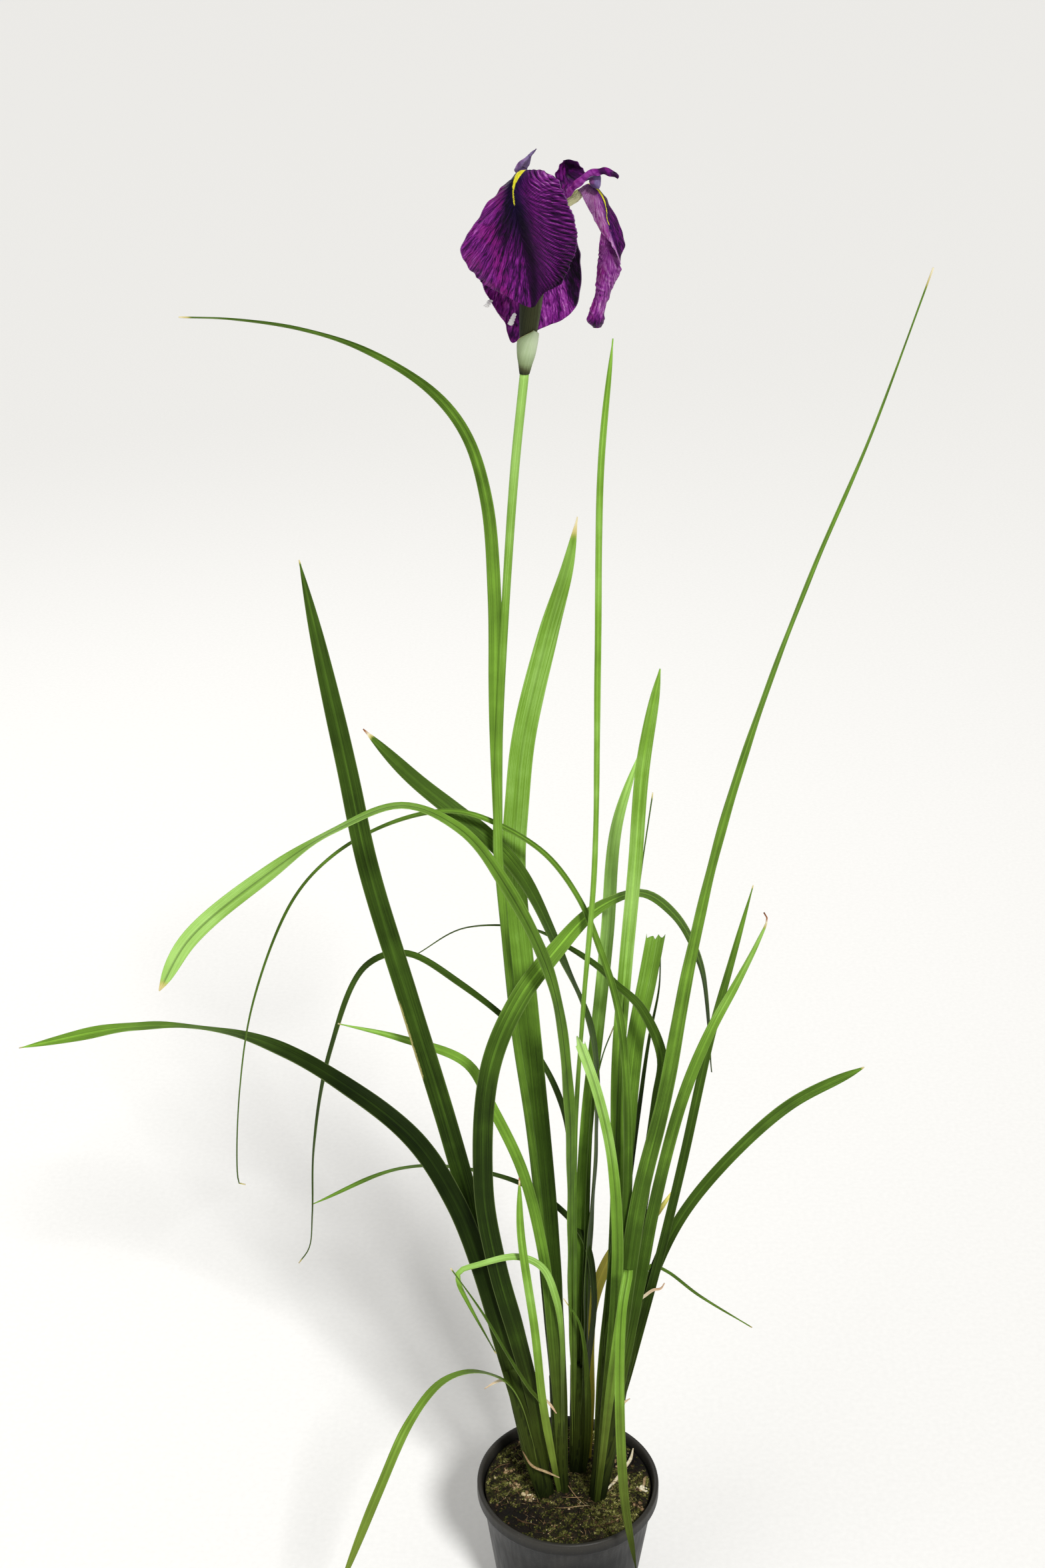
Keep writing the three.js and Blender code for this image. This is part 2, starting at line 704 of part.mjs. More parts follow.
function soil() {
  const slope = (POT_TOP_RADIUS - POT_BASE_RADIUS) / POT_HEIGHT;
  const bottom = FLOOR + GAP;
  const wallAt = (z) => POT_BASE_RADIUS - WALL - 2 * GAP + slope * (z - FLOOR);
  const profile = [[0, bottom], [wallAt(bottom), bottom], [wallAt(SOIL_EDGE), SOIL_EDGE]];
  const rings = 9;
  for (let i = rings; i >= 0; i -= 1) {
    profile.push([(wallAt(SOIL_EDGE) - 1.5) * (i / rings), SOIL_EDGE + 1]);
  }
  const geometry = upright(
    new THREE.LatheGeometry(profile.map(([r, z]) => new THREE.Vector2(r, z)), SOIL_SIDES),
  );
  const place = geometry.getAttribute('position');
  for (let i = 0; i < place.count; i += 1) {
    if (place.getZ(i) > SOIL_EDGE + 0.5) place.setZ(i, soilHeight(place.getX(i), place.getY(i)));
  }
  return solidFromGeometry(geometry)
    .subtract(rhizome(GAP))
    .subtract(sockets(SOCKET_FLOOR, GAP))
    .subtract(deadLeafSocket(GAP));
}

// A petal hangs along its spine. Its halves droop away from the middle line and its
// margin is waved, more towards the edge.
function petal({ heading, spine, widths, droop, ruffle }) {
  const curve = curveThrough(spine);
  const angle = THREE.MathUtils.degToRad(heading);
  const across = new THREE.Vector3(-Math.sin(angle), Math.cos(angle), 0);
  const broad = Math.max(...widths) > BROAD_PETAL;
  const [steps, columns] = broad ? [14, 9] : [8, 5];
  const rings = [];
  for (let i = 0; i <= steps; i += 1) {
    const t = i / steps;
    const out = curve.getTangentAt(t).cross(across).normalize();
    const half = sample(widths, t);
    const at = (u, lift) => {
      const turn = RUFFLE_WAVES * t + RUFFLE_SHIFT * Math.sign(u);
      const wave = ruffle * Math.abs(u) ** 3 * Math.sin(turn);
      return curve.getPointAt(t)
        .addScaledVector(across, u * half)
        .addScaledVector(out, lift + wave - droop * half * u * u);
    };
    const sides = Array.from({ length: columns }, (unused, k) => (2 * k) / (columns - 1) - 1);
    const upper = sides.map((u) => at(u, PETAL_THICK / 2));
    const lower = sides.map((u) => at(u, -PETAL_THICK / 2)).reverse();
    rings.push([...upper, ...lower]);
  }
  return loft(rings);
}

function styleArms() {
  const hub = bar([
    { at: [-22, 0, TUBE_TOP[2] + GAP], wide: 4.4 },
    { at: [-22, 0, TUBE_TOP[2] + 6], wide: 3.6 },
  ]);
  const arms = STYLE_ARMS.map((arm) => petal({
    ...arm, widths: STYLE_WIDTHS, droop: 0.3, ruffle: 0,
  }));
  return join([hub, ...arms]);
}

function tubePlace(along) {
  return vector(STEM_TOP).lerp(vector(TUBE_TOP), along);
}

function tube() {
  const stations = TUBE.map(({ along, radius }) => ({
    at: tubePlace(along).toArray(), wide: 2 * radius,
  }));
  stations[0].at[2] += GAP;
  return bar(stations, 0, 12);
}

// A bract is a sheet bent round the tube, wide at its foot and pointed at its tip.
function bract({ from, to, heading, radii }) {
  const steps = 8;
  const columns = 9;
  const rings = [];
  for (let i = 0; i <= steps; i += 1) {
    const t = i / steps;
    const centre = tubePlace(THREE.MathUtils.lerp(from, to, t));
    const radius = sample(radii, t);
    const wrap = BRACT_WRAP * Math.max(0.06, 1 - t ** 3);
    const at = (u, lift) => {
      const angle = THREE.MathUtils.degToRad(heading + u * wrap);
      const reach = radius + lift;
      return centre.clone().add(new THREE.Vector3(
        reach * Math.cos(angle),
        reach * Math.sin(angle),
        0,
      ));
    };
    const sides = Array.from({ length: columns }, (unused, k) => (2 * k) / (columns - 1) - 1);
    const upper = sides.map((u) => at(u, BRACT_THICK / 2));
    const lower = sides.map((u) => at(u, -BRACT_THICK / 2)).reverse();
    rings.push([...upper, ...lower]);
  }
  return loft(rings);
}

const plant = new THREE.Group();

function add(name, solid, look) {
  const { vertProperties, triVerts } = solid.getMesh();
  const geometry = new THREE.BufferGeometry();
  geometry.setAttribute('position', new THREE.BufferAttribute(vertProperties, 3));
  geometry.setIndex(new THREE.BufferAttribute(triVerts, 1));
  geometry.computeVertexNormals();
  const mesh = new THREE.Mesh(geometry, new THREE.MeshStandardMaterial(look));
  mesh.name = name;
  plant.add(mesh);
}

add('pot', pot(), BLACK);
add('soil', soil(), MOSS);
add('rhizome', rhizome(0).subtract(sockets(SOCKET_FLOOR, GAP)), BROWN);
for (const [name, parts] of Object.entries(SHOOTS)) add(name, shoot(parts), GREEN);
add('dead_leaf', blade(DEAD_LEAF), STRAW);
add('flower_tube', tube(), PALE_GREEN);
for (const [name, shape] of Object.entries(BRACTS)) add(name, bract(shape), PALE_GREEN);
for (const [name, shape] of Object.entries(PETALS)) add(name, petal(shape), shape.look);
add('style_arms', styleArms(), LILAC);

export default plant;
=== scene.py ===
# %% [markdown]
# # A Japanese iris in its pot
#
# This lesson dresses a finished model of a potted Japanese iris. The plain solids of the
# pot, the soil, the rhizome, four leafy shoots and one bloom are loaded first. They hold
# every size and place, so nothing here has to be fitted. Each plain solid is then replaced
# by a finer surface worked out with numpy, and gets a finish made only of shader nodes.

# %% Load the frame
from math import radians

import bpy
import numpy as np
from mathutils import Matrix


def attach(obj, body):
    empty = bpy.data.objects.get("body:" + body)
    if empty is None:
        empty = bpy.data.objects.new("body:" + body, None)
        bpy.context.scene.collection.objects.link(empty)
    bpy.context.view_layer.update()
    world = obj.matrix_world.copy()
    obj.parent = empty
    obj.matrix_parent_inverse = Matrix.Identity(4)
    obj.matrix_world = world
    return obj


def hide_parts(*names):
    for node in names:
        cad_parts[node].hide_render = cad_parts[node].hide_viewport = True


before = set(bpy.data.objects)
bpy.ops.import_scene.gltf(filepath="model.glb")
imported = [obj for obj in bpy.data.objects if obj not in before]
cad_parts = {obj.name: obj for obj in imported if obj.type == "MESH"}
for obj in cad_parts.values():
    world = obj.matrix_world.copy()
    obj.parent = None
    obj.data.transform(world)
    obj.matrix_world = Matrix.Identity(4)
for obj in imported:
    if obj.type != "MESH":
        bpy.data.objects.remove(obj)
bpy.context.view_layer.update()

MM = 0.001
print("plain solids:", len(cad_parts))

# %% [markdown]
# ## Camera
#
# The plant is seen from a little above and from 1.6 metres away, with a normal 50 mm lens
# on an upright frame that is 36 mm tall. The leaves below are drawn from this same place,
# so it is kept as the eye, in millimetres from the middle of the pot's underside.

# %% Camera
EYE = np.array([-30.0, -1095.0, 1152.0])
LOOK_DOWN = 25.9
LENS = 50.0
FRAME_HEIGHT = 36.0


def new_object(name, data):
    """Puts a mesh, a lamp or a camera into the scene."""
    made = bpy.data.objects.new(name, data)
    bpy.context.scene.collection.objects.link(made)
    return made


camera = new_object("camera", bpy.data.cameras.new("camera"))
camera.data.sensor_fit = "VERTICAL"
camera.data.sensor_height = FRAME_HEIGHT
camera.data.lens = LENS
camera.location = EYE * MM
camera.rotation_euler = (radians(90 - LOOK_DOWN), 0, 0)
bpy.context.scene.camera = camera
print("camera looks down by", LOOK_DOWN, "degrees")

# %% [markdown]
# ## Finishes from nodes
#
# A material is a small network of nodes. Adding the nodes one by one takes many lines, so
# a recipe object gives each common step a short name: a noise, a mix of two colours, a
# ramp, a bump. What comes out of a node is kept as a wire, and wires can be added and
# multiplied as numbers are. Colours are written as the usual six digits and turned into
# the linear light values that the shader works with.

# %% Colours and wires
def shade(digits):
    """Turns six colour digits into linear light values."""
    share = np.array([int(digits[k:k + 2], 16) for k in (0, 2, 4)]) / 255
    light = np.where(share <= 0.04045, share / 12.92, ((share + 0.055) / 1.055) ** 2.4)
    return (*light.tolist(), 1.0)


class Wire:
    """What comes out of a node. Each sign between wires becomes a Math node."""

    def __init__(self, recipe, socket):
        self.recipe, self.socket = recipe, socket

    def __add__(self, other):
        return self.recipe.math("ADD", self, other)

    def __sub__(self, other):
        return self.recipe.math("SUBTRACT", self, other)

    def __mul__(self, other):
        return self.recipe.math("MULTIPLY", self, other)

    def __radd__(self, other):
        return self.recipe.math("ADD", other, self)

    def __rsub__(self, other):
        return self.recipe.math("SUBTRACT", other, self)

    def __abs__(self):
        return self.recipe.math("ABSOLUTE", self)

    def around(self, amount):
        """Turns a noise from 0 to 1 into a number from -amount/2 to amount/2."""
        return (self - 0.5) * amount


# %% A recipe for a finish
class Recipe:
    """A material whose nodes are added one at a time."""

    def __init__(self, name, specular=0.5):
        self.material = bpy.data.materials.new(name)
        self.material.use_nodes = True
        self.tree = self.material.node_tree
        self.tree.nodes.clear()
        self.shader = self.tree.nodes.new("ShaderNodeBsdfPrincipled")
        self.shader.inputs["Specular IOR Level"].default_value = specular
        out = self.tree.nodes.new("ShaderNodeOutputMaterial")
        self.tree.links.new(self.shader.outputs[0], out.inputs[0])

    def put(self, value, socket):
        if isinstance(value, Wire):
            self.tree.links.new(value.socket, socket)
        else:
            socket.default_value = value

    def add(self, kind, inputs=None, output=0, **settings):
        """One more node, and the wire from one of its outputs."""
        made = self.tree.nodes.new("ShaderNode" + kind)
        for key, value in settings.items():
            setattr(made, key, value)
        for key, value in (inputs or {}).items():
            self.put(value, made.inputs[key])
        return Wire(self, made.outputs[output])

    def split(self, vector):
        """The three numbers of a vector."""
        made = self.add("SeparateXYZ", {0: vector}).socket.node
        return [Wire(self, output) for output in made.outputs]

    def notes(self, name):
        """The three numbers that the mesh carries at each point under this name."""
        return self.split(self.add("Attribute", output="Vector", attribute_name=name))

    def place(self):
        """Where the point lies, in metres."""
        return self.add("TexCoord", output="Object")

    def math(self, operation, first, second=0.0):
        return self.add("Math", {0: first, 1: second}, operation=operation)

    def rise(self, value, low, high, top=1.0):
        """0 below low, top above high, and a smooth step between them."""
        steps = {0: value, 1: low, 2: high, 3: 0.0, 4: top}
        return self.add("MapRange", steps, interpolation_type="SMOOTHSTEP")

    def vector(self, x, y, z):
        return self.add("CombineXYZ", {0: x, 1: y, 2: z})

    def noise(self, where, scale=1.0, detail=3.0, roughness=0.5):
        steps = {"Vector": where, "Scale": scale, "Detail": detail, "Roughness": roughness}
        return self.add("TexNoise", steps, output="Fac")

    def mix(self, share, first, second):
        return self.add("Mix", {0: share, 6: first, 7: second}, output=2, data_type="RGBA")

    def ramp(self, value, *stops):
        """A colour for each value, blended between stops of a place and six digits."""
        made = self.add("ValToRGB", {0: value})
        elements = made.socket.node.color_ramp.elements
        while len(elements) < len(stops):
            elements.new(0.5)
        for element, (place, digits) in zip(elements, stops):
            element.position = place
            element.color = shade(digits)
        return made

    def finish(self, colour, roughness, relief, strength, distance):
        """Colour, gloss, and a bump that is as high as the relief times the distance."""
        bump = {"Height": relief, "Strength": strength, "Distance": distance}
        self.put(colour, self.shader.inputs["Base Color"])
        self.put(roughness, self.shader.inputs["Roughness"])
        self.put(self.add("Bump", bump), self.shader.inputs["Normal"])
        print("finish:", self.material.name, "from", len(self.tree.nodes), "nodes")
        return self.material


# %% [markdown]
# ## Floor and light
#
# A plain pale floor and soft studio lamps show a plant best. The key light comes from
# high in front, a little to the right, so that folds and ribs cast soft shadows. A wide
# lamp on the left fills them, and one behind draws a thin bright edge.

# %% Floor
FLOOR_REACH = 20.0
floor_mesh = bpy.data.meshes.new("floor")
corners = [(x * FLOOR_REACH, y * FLOOR_REACH, 0) for x, y in ((-1, -1), (1, -1), (1, 1), (-1, 1))]
floor_mesh.from_pydata(corners, [], [(0, 1, 2, 3)])
floor = new_object("floor", floor_mesh)
paper = Recipe("pale_paper")
paper_grain = paper.noise(paper.place(), 260.0)
paper_colour = paper.ramp(paper_grain, (0.3, "f2f1ee"), (0.7, "f6f5f2"))
floor_mesh.materials.append(paper.finish(paper_colour, 0.85, paper_grain, strength=0.02,
                                         distance=0.001))

# %% Lamps
SKY = (1.0, 0.99, 0.97, 1.0)
SKY_STRENGTH = 0.34


def lamp(name, kind, place, aim_height, size, power):
    """A soft lamp at a place, turned to face a height above the middle of the floor.
    Size is the side of a square lamp in metres, or the angle of a far one in radians."""
    light = bpy.data.lights.new(name, kind)
    light.energy = power
    if kind == "AREA":
        light.size = size
    else:
        light.angle = size
    made = new_object(name, light)
    made.location = place
    x, y, z = np.array(place) - (0, 0, aim_height)
    made.rotation_euler = (np.arctan2(np.hypot(x, y), z), 0, np.arctan2(x, -y))


lamp("key_light", "SUN", (0.45, -1.3, 1.9), aim_height=0.5, size=0.16, power=2.7)
lamp("fill_lamp", "AREA", (-1.5, -1.2, 1.3), aim_height=0.5, size=1.4, power=9.0)
lamp("back_lamp", "AREA", (-0.7, 1.5, 1.7), aim_height=0.6, size=0.9, power=7.0)
world = bpy.data.worlds.new("studio_air")
world.use_nodes = True
sky = world.node_tree.nodes["Background"]
sky.inputs["Color"].default_value = SKY
sky.inputs["Strength"].default_value = SKY_STRENGTH
bpy.context.scene.world = world
bpy.context.scene.view_settings.view_transform = "Standard"
print("lamps: 3, and a pale sky all round")

# %% [markdown]
# ## Lines, lists and closed shells
#
# Every leaf, petal and stem here is a surface that follows a line. These helpers are used
# by all of them. One draws a smooth line through a few points, one reads a short list of
# values along it, and one closes rings of points into a body with an inside.

# %% Lines through points
LINE_STEPS = 32


def unit(arrows):
    return arrows / np.linalg.norm(arrows, axis=-1, keepdims=True)


def smooth_line(points):
    """A centripetal Catmull-Rom line: between two points it is the cubic that passes
    through both, with slopes taken from the points on either side."""
    p = np.asarray(points, float)
    p = np.vstack([2 * p[0] - p[1], p, 2 * p[-1] - p[-2]])
    before, start, end, after = p[:-3], p[1:-2], p[2:-1], p[3:]
    d0, d1, d2 = (np.sqrt(np.linalg.norm(b - a, axis=1))[:, None]
                  for a, b in ((before, start), (start, end), (end, after)))
    out = ((start - before) / d0 - (end - before) / (d0 + d1) + (end - start) / d1) * d1
    back = ((end - start) / d1 - (after - start) / (d1 + d2) + (after - end) / d2) * d1
    s = np.linspace(0, 1, LINE_STEPS, endpoint=False)[:, None, None]
    cubic = ((2 * s**3 - 3 * s**2 + 1) * start + (s**3 - 2 * s**2 + s) * out
             + (3 * s**2 - 2 * s**3) * end + (s**3 - s**2) * back)
    return np.vstack([cubic.transpose(1, 0, 2).reshape(-1, 3), p[-2]])


def line_length(line):
    """The length from the line's start to each of its points."""
    return np.concatenate([[0], np.cumsum(np.linalg.norm(np.diff(line, axis=0), axis=1))])


def walk(line, share):
    """The places at these shares of the line's length."""
    length = line_length(line)
    place = np.asarray(share) * length[-1]
    return np.stack([np.interp(place, length, line[:, k]) for k in range(3)], -1)


def step_up(value, low, high):
    """0 below low, 1 above high, smooth between."""
    share = np.clip((value - low) / (high - low), 0, 1)
    return share * share * (3 - 2 * share)


def straight(values, share):
    """Reads evenly spaced values at shares from 0 to 1, with straight lines between."""
    return np.interp(share, np.linspace(0, 1, len(values)), values)


def eased(values, share):
    """Reads evenly spaced values at shares from 0 to 1, with a smooth step between them."""
    place = share * (len(values) - 1)
    first = np.clip(place.astype(int), 0, max(len(values) - 2, 0))
    rest = step_up(place - first, 0, 1)
    values = np.array([*values, values[-1]], float)
    return values[first] * (1 - rest) + values[first + 1] * rest


def flowing(values, share):
    """Reads evenly spaced values as one smooth curve that passes through all of them."""
    line = smooth_line([(k, value, 0) for k, value in enumerate(values)])
    return np.interp(share * (len(values) - 1), line[:, 0], line[:, 1])


def ripples(seed, count, low, high):
    """An uneven surface that is the same each time: the sum of sine waves with random
    headings, phases and wave numbers between low and high, with a spread of about 1."""
    dice = np.random.default_rng(seed)
    heading = dice.uniform(0, 2 * np.pi, count)
    number = dice.uniform(low, high, count)
    phase = dice.uniform(0, 2 * np.pi, count)

    def height(x, y):
        x, y = np.broadcast_arrays(x, y)
        turn = (x[..., None] * (number * np.cos(heading))
                + y[..., None] * (number * np.sin(heading)) + phase)
        return np.sin(turn).sum(-1) / np.sqrt(count / 2)

    return height


# %% Closed shells
BLANK = (0.0, 0.0, 0.0)


def shell(rings, grain=BLANK, share=BLANK, mark=BLANK, flat_ends=False):
    """A closed body through rings of points, an array of rows by ring points by 3. Each
    end is closed by strips between the two halves of its ring, or by one flat face.
    Grain, share and mark are three numbers each that the finish reads at every point."""
    rows, size = rings.shape[:2]
    r, k = np.meshgrid(np.arange(rows - 1), np.arange(size), indexing="ij")
    after = (k + 1) % size
    faces = np.stack([r * size + k, r * size + after, (r + 1) * size + after,
                      (r + 1) * size + k], -1).reshape(-1, 4)
    last = (rows - 1) * size
    caps = []
    if flat_ends:
        caps = [np.arange(size)[::-1], last + np.arange(size)]
    else:
        k = np.arange(size // 2 - 1)
        strip = np.stack([k, size - 1 - k, size - 2 - k, k + 1], -1)
        faces = np.vstack([faces, strip, last + strip[:, ::-1]])
    points = rings.reshape(-1, 3)
    a, b, c, d = (points[faces[:, n]] for n in range(4))
    volume = np.einsum("ij,ij", a, np.cross(b, c)) + np.einsum("ij,ij", a, np.cross(c, d))
    for cap in caps:
        volume += np.einsum("ij,ij", points[cap], np.cross(np.roll(points[cap], -1, 0),
                                                           points[cap].mean(0)))
    if volume < 0:
        faces = faces[:, ::-1]
        caps = [cap[::-1] for cap in caps]
    notes = [np.stack(np.broadcast_arrays(*note, rings[..., 0])[:3], -1).reshape(-1, 3)
             for note in (grain, share, mark)]
    return {"points": points, "faces": faces, "caps": caps, "notes": notes}


def ring_of(upper, lower):
    """Joins a row on the upper face and one on the lower face into one ring."""
    return np.concatenate([upper, lower[:, ::-1]], axis=1)


def both(row):
    """A row of notes that holds for the upper and for the lower face."""
    return ring_of(row, row)


# %% From shells to a piece
def joined_mesh(name, shells):
    """One mesh, in metres, that holds all the shells."""
    ends = np.cumsum([len(part["points"]) for part in shells])
    points = np.concatenate([part["points"] for part in shells]) * MM
    faces = []
    for part, end in zip(shells, ends):
        start = end - len(part["points"])
        faces += (part["faces"] + start).tolist()
        faces += [(cap + start).tolist() for cap in part["caps"]]
    mesh = bpy.data.meshes.new(name)
    mesh.from_pydata(points.tolist(), [], faces)
    return mesh


def make_piece(name, shells, material, stands_for=None):
    """One smooth object from all its shells, riding on the plant's one body."""
    mesh = joined_mesh(name, shells)
    mesh.polygons.foreach_set("use_smooth", np.ones(len(mesh.polygons), bool))
    for k, note in enumerate(("grain", "share", "mark")):
        values = np.concatenate([part["notes"][k] for part in shells])
        attribute = mesh.attributes.new(note, "FLOAT_VECTOR", "POINT")
        attribute.data.foreach_set("vector", values.astype(np.float32).ravel())
    mesh.materials.append(material)
    piece = new_object(name, mesh)
    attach(piece, "root")
    if stands_for:
        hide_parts(stands_for)
    triangles = len(mesh.loops) - 2 * len(mesh.polygons)
    print(name, "has", len(shells), "shells and", triangles, "triangles")
    return piece

# %% [markdown]
# ## The finish of a leaf
#
# An iris leaf is a flat sword with fine parallel veins and a raised midrib. Its green
# runs from a dark blue-green to a pale yellow-green, its foot is olive, and its tip
# often dries to straw and brown. Painted shade darkens the green towards the ground and
# the olive foot most at the bottom. Each point of a leaf carries three notes. Grain holds
# millimetres across, millimetres along and a number of its own for each leaf. Share
# holds the share across, the share along and the tone, which also carries painted light
# and shade. Mark holds how dry the tip is, how pale the midrib is, and how scarred the
# edge is.

# %% Leaf finish
GREENS = ((0.0, "0d1606"), (0.22, "202f0b"), (0.42, "3f591a"), (0.62, "6f9733"),
          (0.8, "a0c96c"), (1.0, "d6ebbc"))
PALE_GREENS = ((0.0, "23261a"), (0.25, "45482f"), (0.5, "7d8c64"), (0.75, "9fb089"),
               (1.0, "c3d0b0"))
GOLDS = ((0.0, "6f6a1c"), (0.3, "a8982c"), (0.6, "cfc046"), (1.0, "ece488"))
# Olive for the leaf foot: partly its own colour, and kept dark as painted shade near the ground.
SHADED_OLIVES = ((0.05, "15190a"), (0.35, "3f4817"), (0.7, "7c8a3a"))
STRAWS = ((0.3, "a8a550"), (0.48, "cbbd84"), (0.64, "dfd6b6"), (0.8, "a5673f"), (1.0, "553522"))
LEAF_EDGE, LEAF_SCAR = shade("93a866"), shade("a39a63")
# Each step: where it starts, where it is full, and how strong it is there. The first
# three are heights in metres.
# Painted shade: the green darkens towards the ground, and the olive foot darkens most at the
# bottom.
PAINTED_SHADE_DOWN = (0.58, 0.3, 0.11)
PAINTED_SHADE_AT_FOOT = (0.145, 0.11, 0.16)
OLIVE_BELOW = (0.3, 0.11)
RIB_STEP = (0.25, 0.85)
EDGE_STEP = (0.88, 1.0, 0.25)
DRY_STEP = (0.2, 0.42)
SCAR_STEP = (0.5, 0.8, 0.8)
RIB_LIGHT = 0.75


def leaf_finish(name, colours, olive_foot=0.85):
    """The level picks the green: it is the tone, made uneven by patches, veins and cells,
    and darkened towards the ground as painted shade. Olive, straw and scars are laid over it."""
    r = Recipe(name, specular=0.05)
    across, along, seed = r.notes("grain")
    side, _, tone = r.notes("share")
    dry, rib, scar = r.notes("mark")
    place = r.place()
    height = r.split(place)[2]
    veins = r.noise(r.vector(across * 1.9, along * 0.011, seed), roughness=0.6)
    cells = r.noise(r.vector(across * 5.0, along * 0.5, seed), detail=2.0)
    patches = r.noise(place, 48.0, detail=2.0)

    level = tone + patches.around(0.2) + veins.around(0.36) + cells.around(0.08)
    level = level - r.rise(height, *PAINTED_SHADE_DOWN)
    middle = 1.0 - r.rise(abs(across), *RIB_STEP)
    lighter = {0: r.ramp(level, *colours), "Scale": 1.0 + middle * rib * RIB_LIGHT}
    green = r.add("VectorMath", lighter, operation="SCALE")
    green = r.mix(r.rise(abs(side), *EDGE_STEP), green, LEAF_EDGE)

    # The olive foot is the leaf's own colour, darkened towards the bottom as painted shade.
    foot = r.rise(height + patches.around(0.04), *OLIVE_BELOW, olive_foot)
    green = r.mix(foot, green, r.ramp(level - r.rise(height, *PAINTED_SHADE_AT_FOOT), *SHADED_OLIVES))
    dryness = dry + veins.around(0.3)
    green = r.mix(r.rise(dryness, *DRY_STEP), green, r.ramp(dryness, *STRAWS))
    green = r.mix(r.rise(scar + cells.around(0.9), *SCAR_STEP), green, LEAF_SCAR)
    gloss = 0.52 + patches.around(0.16) + dry * 0.3
    relief = veins * 0.8 + cells * 0.25
    return r.finish(green, gloss, relief, strength=0.5, distance=0.0005)


leaf = leaf_finish("iris_leaf", GREENS)
bract_green = leaf_finish("bract_green", PALE_GREENS)
golden_leaf = leaf_finish("golden_leaf", GOLDS, olive_foot=0.6)

# %% [markdown]
# ## Drawing the leaves
#
# Each leaf is written down as the few places that its midrib passes, from foot to tip.
# The first two numbers are where the eye sees the place in the upright plane through the
# pot's middle. The third is how far behind that plane it really lies, so the place slides
# along its line of sight and keeps its look from the front. Width, taper and turn shape
# the blade, tone and rib colour it, and tip is the length of the dry end in millimetres.
# The tones along a leaf also hold painted shade and painted light: they are lower where
# the leaf lies in shade and higher where the light falls on it.

# %% The leaves of the left shoot and the flowering shoot
LEFT_LEAVES = [
    # the tall dark blade
    dict(width=12.5, taper=14, turn=[10, 0, 0, 0, 15],
         tone=[0.42, 0.4, 0.34, 0.3, 0.34], tip=3, rib=0.9,
         route=[(-14, 86, -11), (-26, 160, -10), (-46, 254, -8), (-74, 385, -2),
                (-97, 480, 8), (-118, 568, 20), (-128, 631, 32), (-141, 707, 50),
                (-149, 753, 64)]),
    # the long low arch to the left
    dict(width=12.5, taper=10, turn=[0, 0, 0, 0, 5, 8, 12, 28, 52, 82, 60, 25, 10],
         tone=[0.42, 0.34, 0.22, 0.16, 0.62, 0.66], tip=5, rib=0.7,
         route=[(-14, 84, -13), (-23, 129, -13), (-39, 208, -14), (-56, 284, -14),
                (-72, 335, -12), (-97, 382, -8), (-144, 426, 2), (-182, 450, 16),
                (-217, 460, 32), (-260, 461, 48), (-329, 446, 80)]),
    # the broad arch in front
    dict(width=12, taper=6, turn=[0, 0, 0, 0, 0, 15, 60, 65, 60],
         tone=[0.4, 0.34, 0.3, 0.32, 0.6, 0.55, 0.2], tip=0, rib=1.1,
         route=[(-13, 88, -9), (-21, 166, -14), (-34, 231, -18), (-46, 285, -23),
                (-54, 346, -30), (-49, 433, -34), (-32, 480, -26), (-12, 511, -12),
                (11, 539, 6), (37, 551, 18), (57, 537, 28), (74, 502, 42), (83, 429, 60)]),
    # the low bent leaf
    dict(width=6.5, taper=12, turn=[20, 50, 75, 84, 86, 70, 40, 25, 20, 15, 10],
         tone=[0.5, 0.6, 0.7, 0.65], tip=0, rib=0.3,
         route=[(-14, 85, -12), (-23, 143, -12), (-36, 186, -17), (-49, 197.5, -25),
                (-66, 200, -36), (-84, 190, -50), (-104, 157, -70), (-126, 97, -94),
                (-156, 7, -118)]),
]

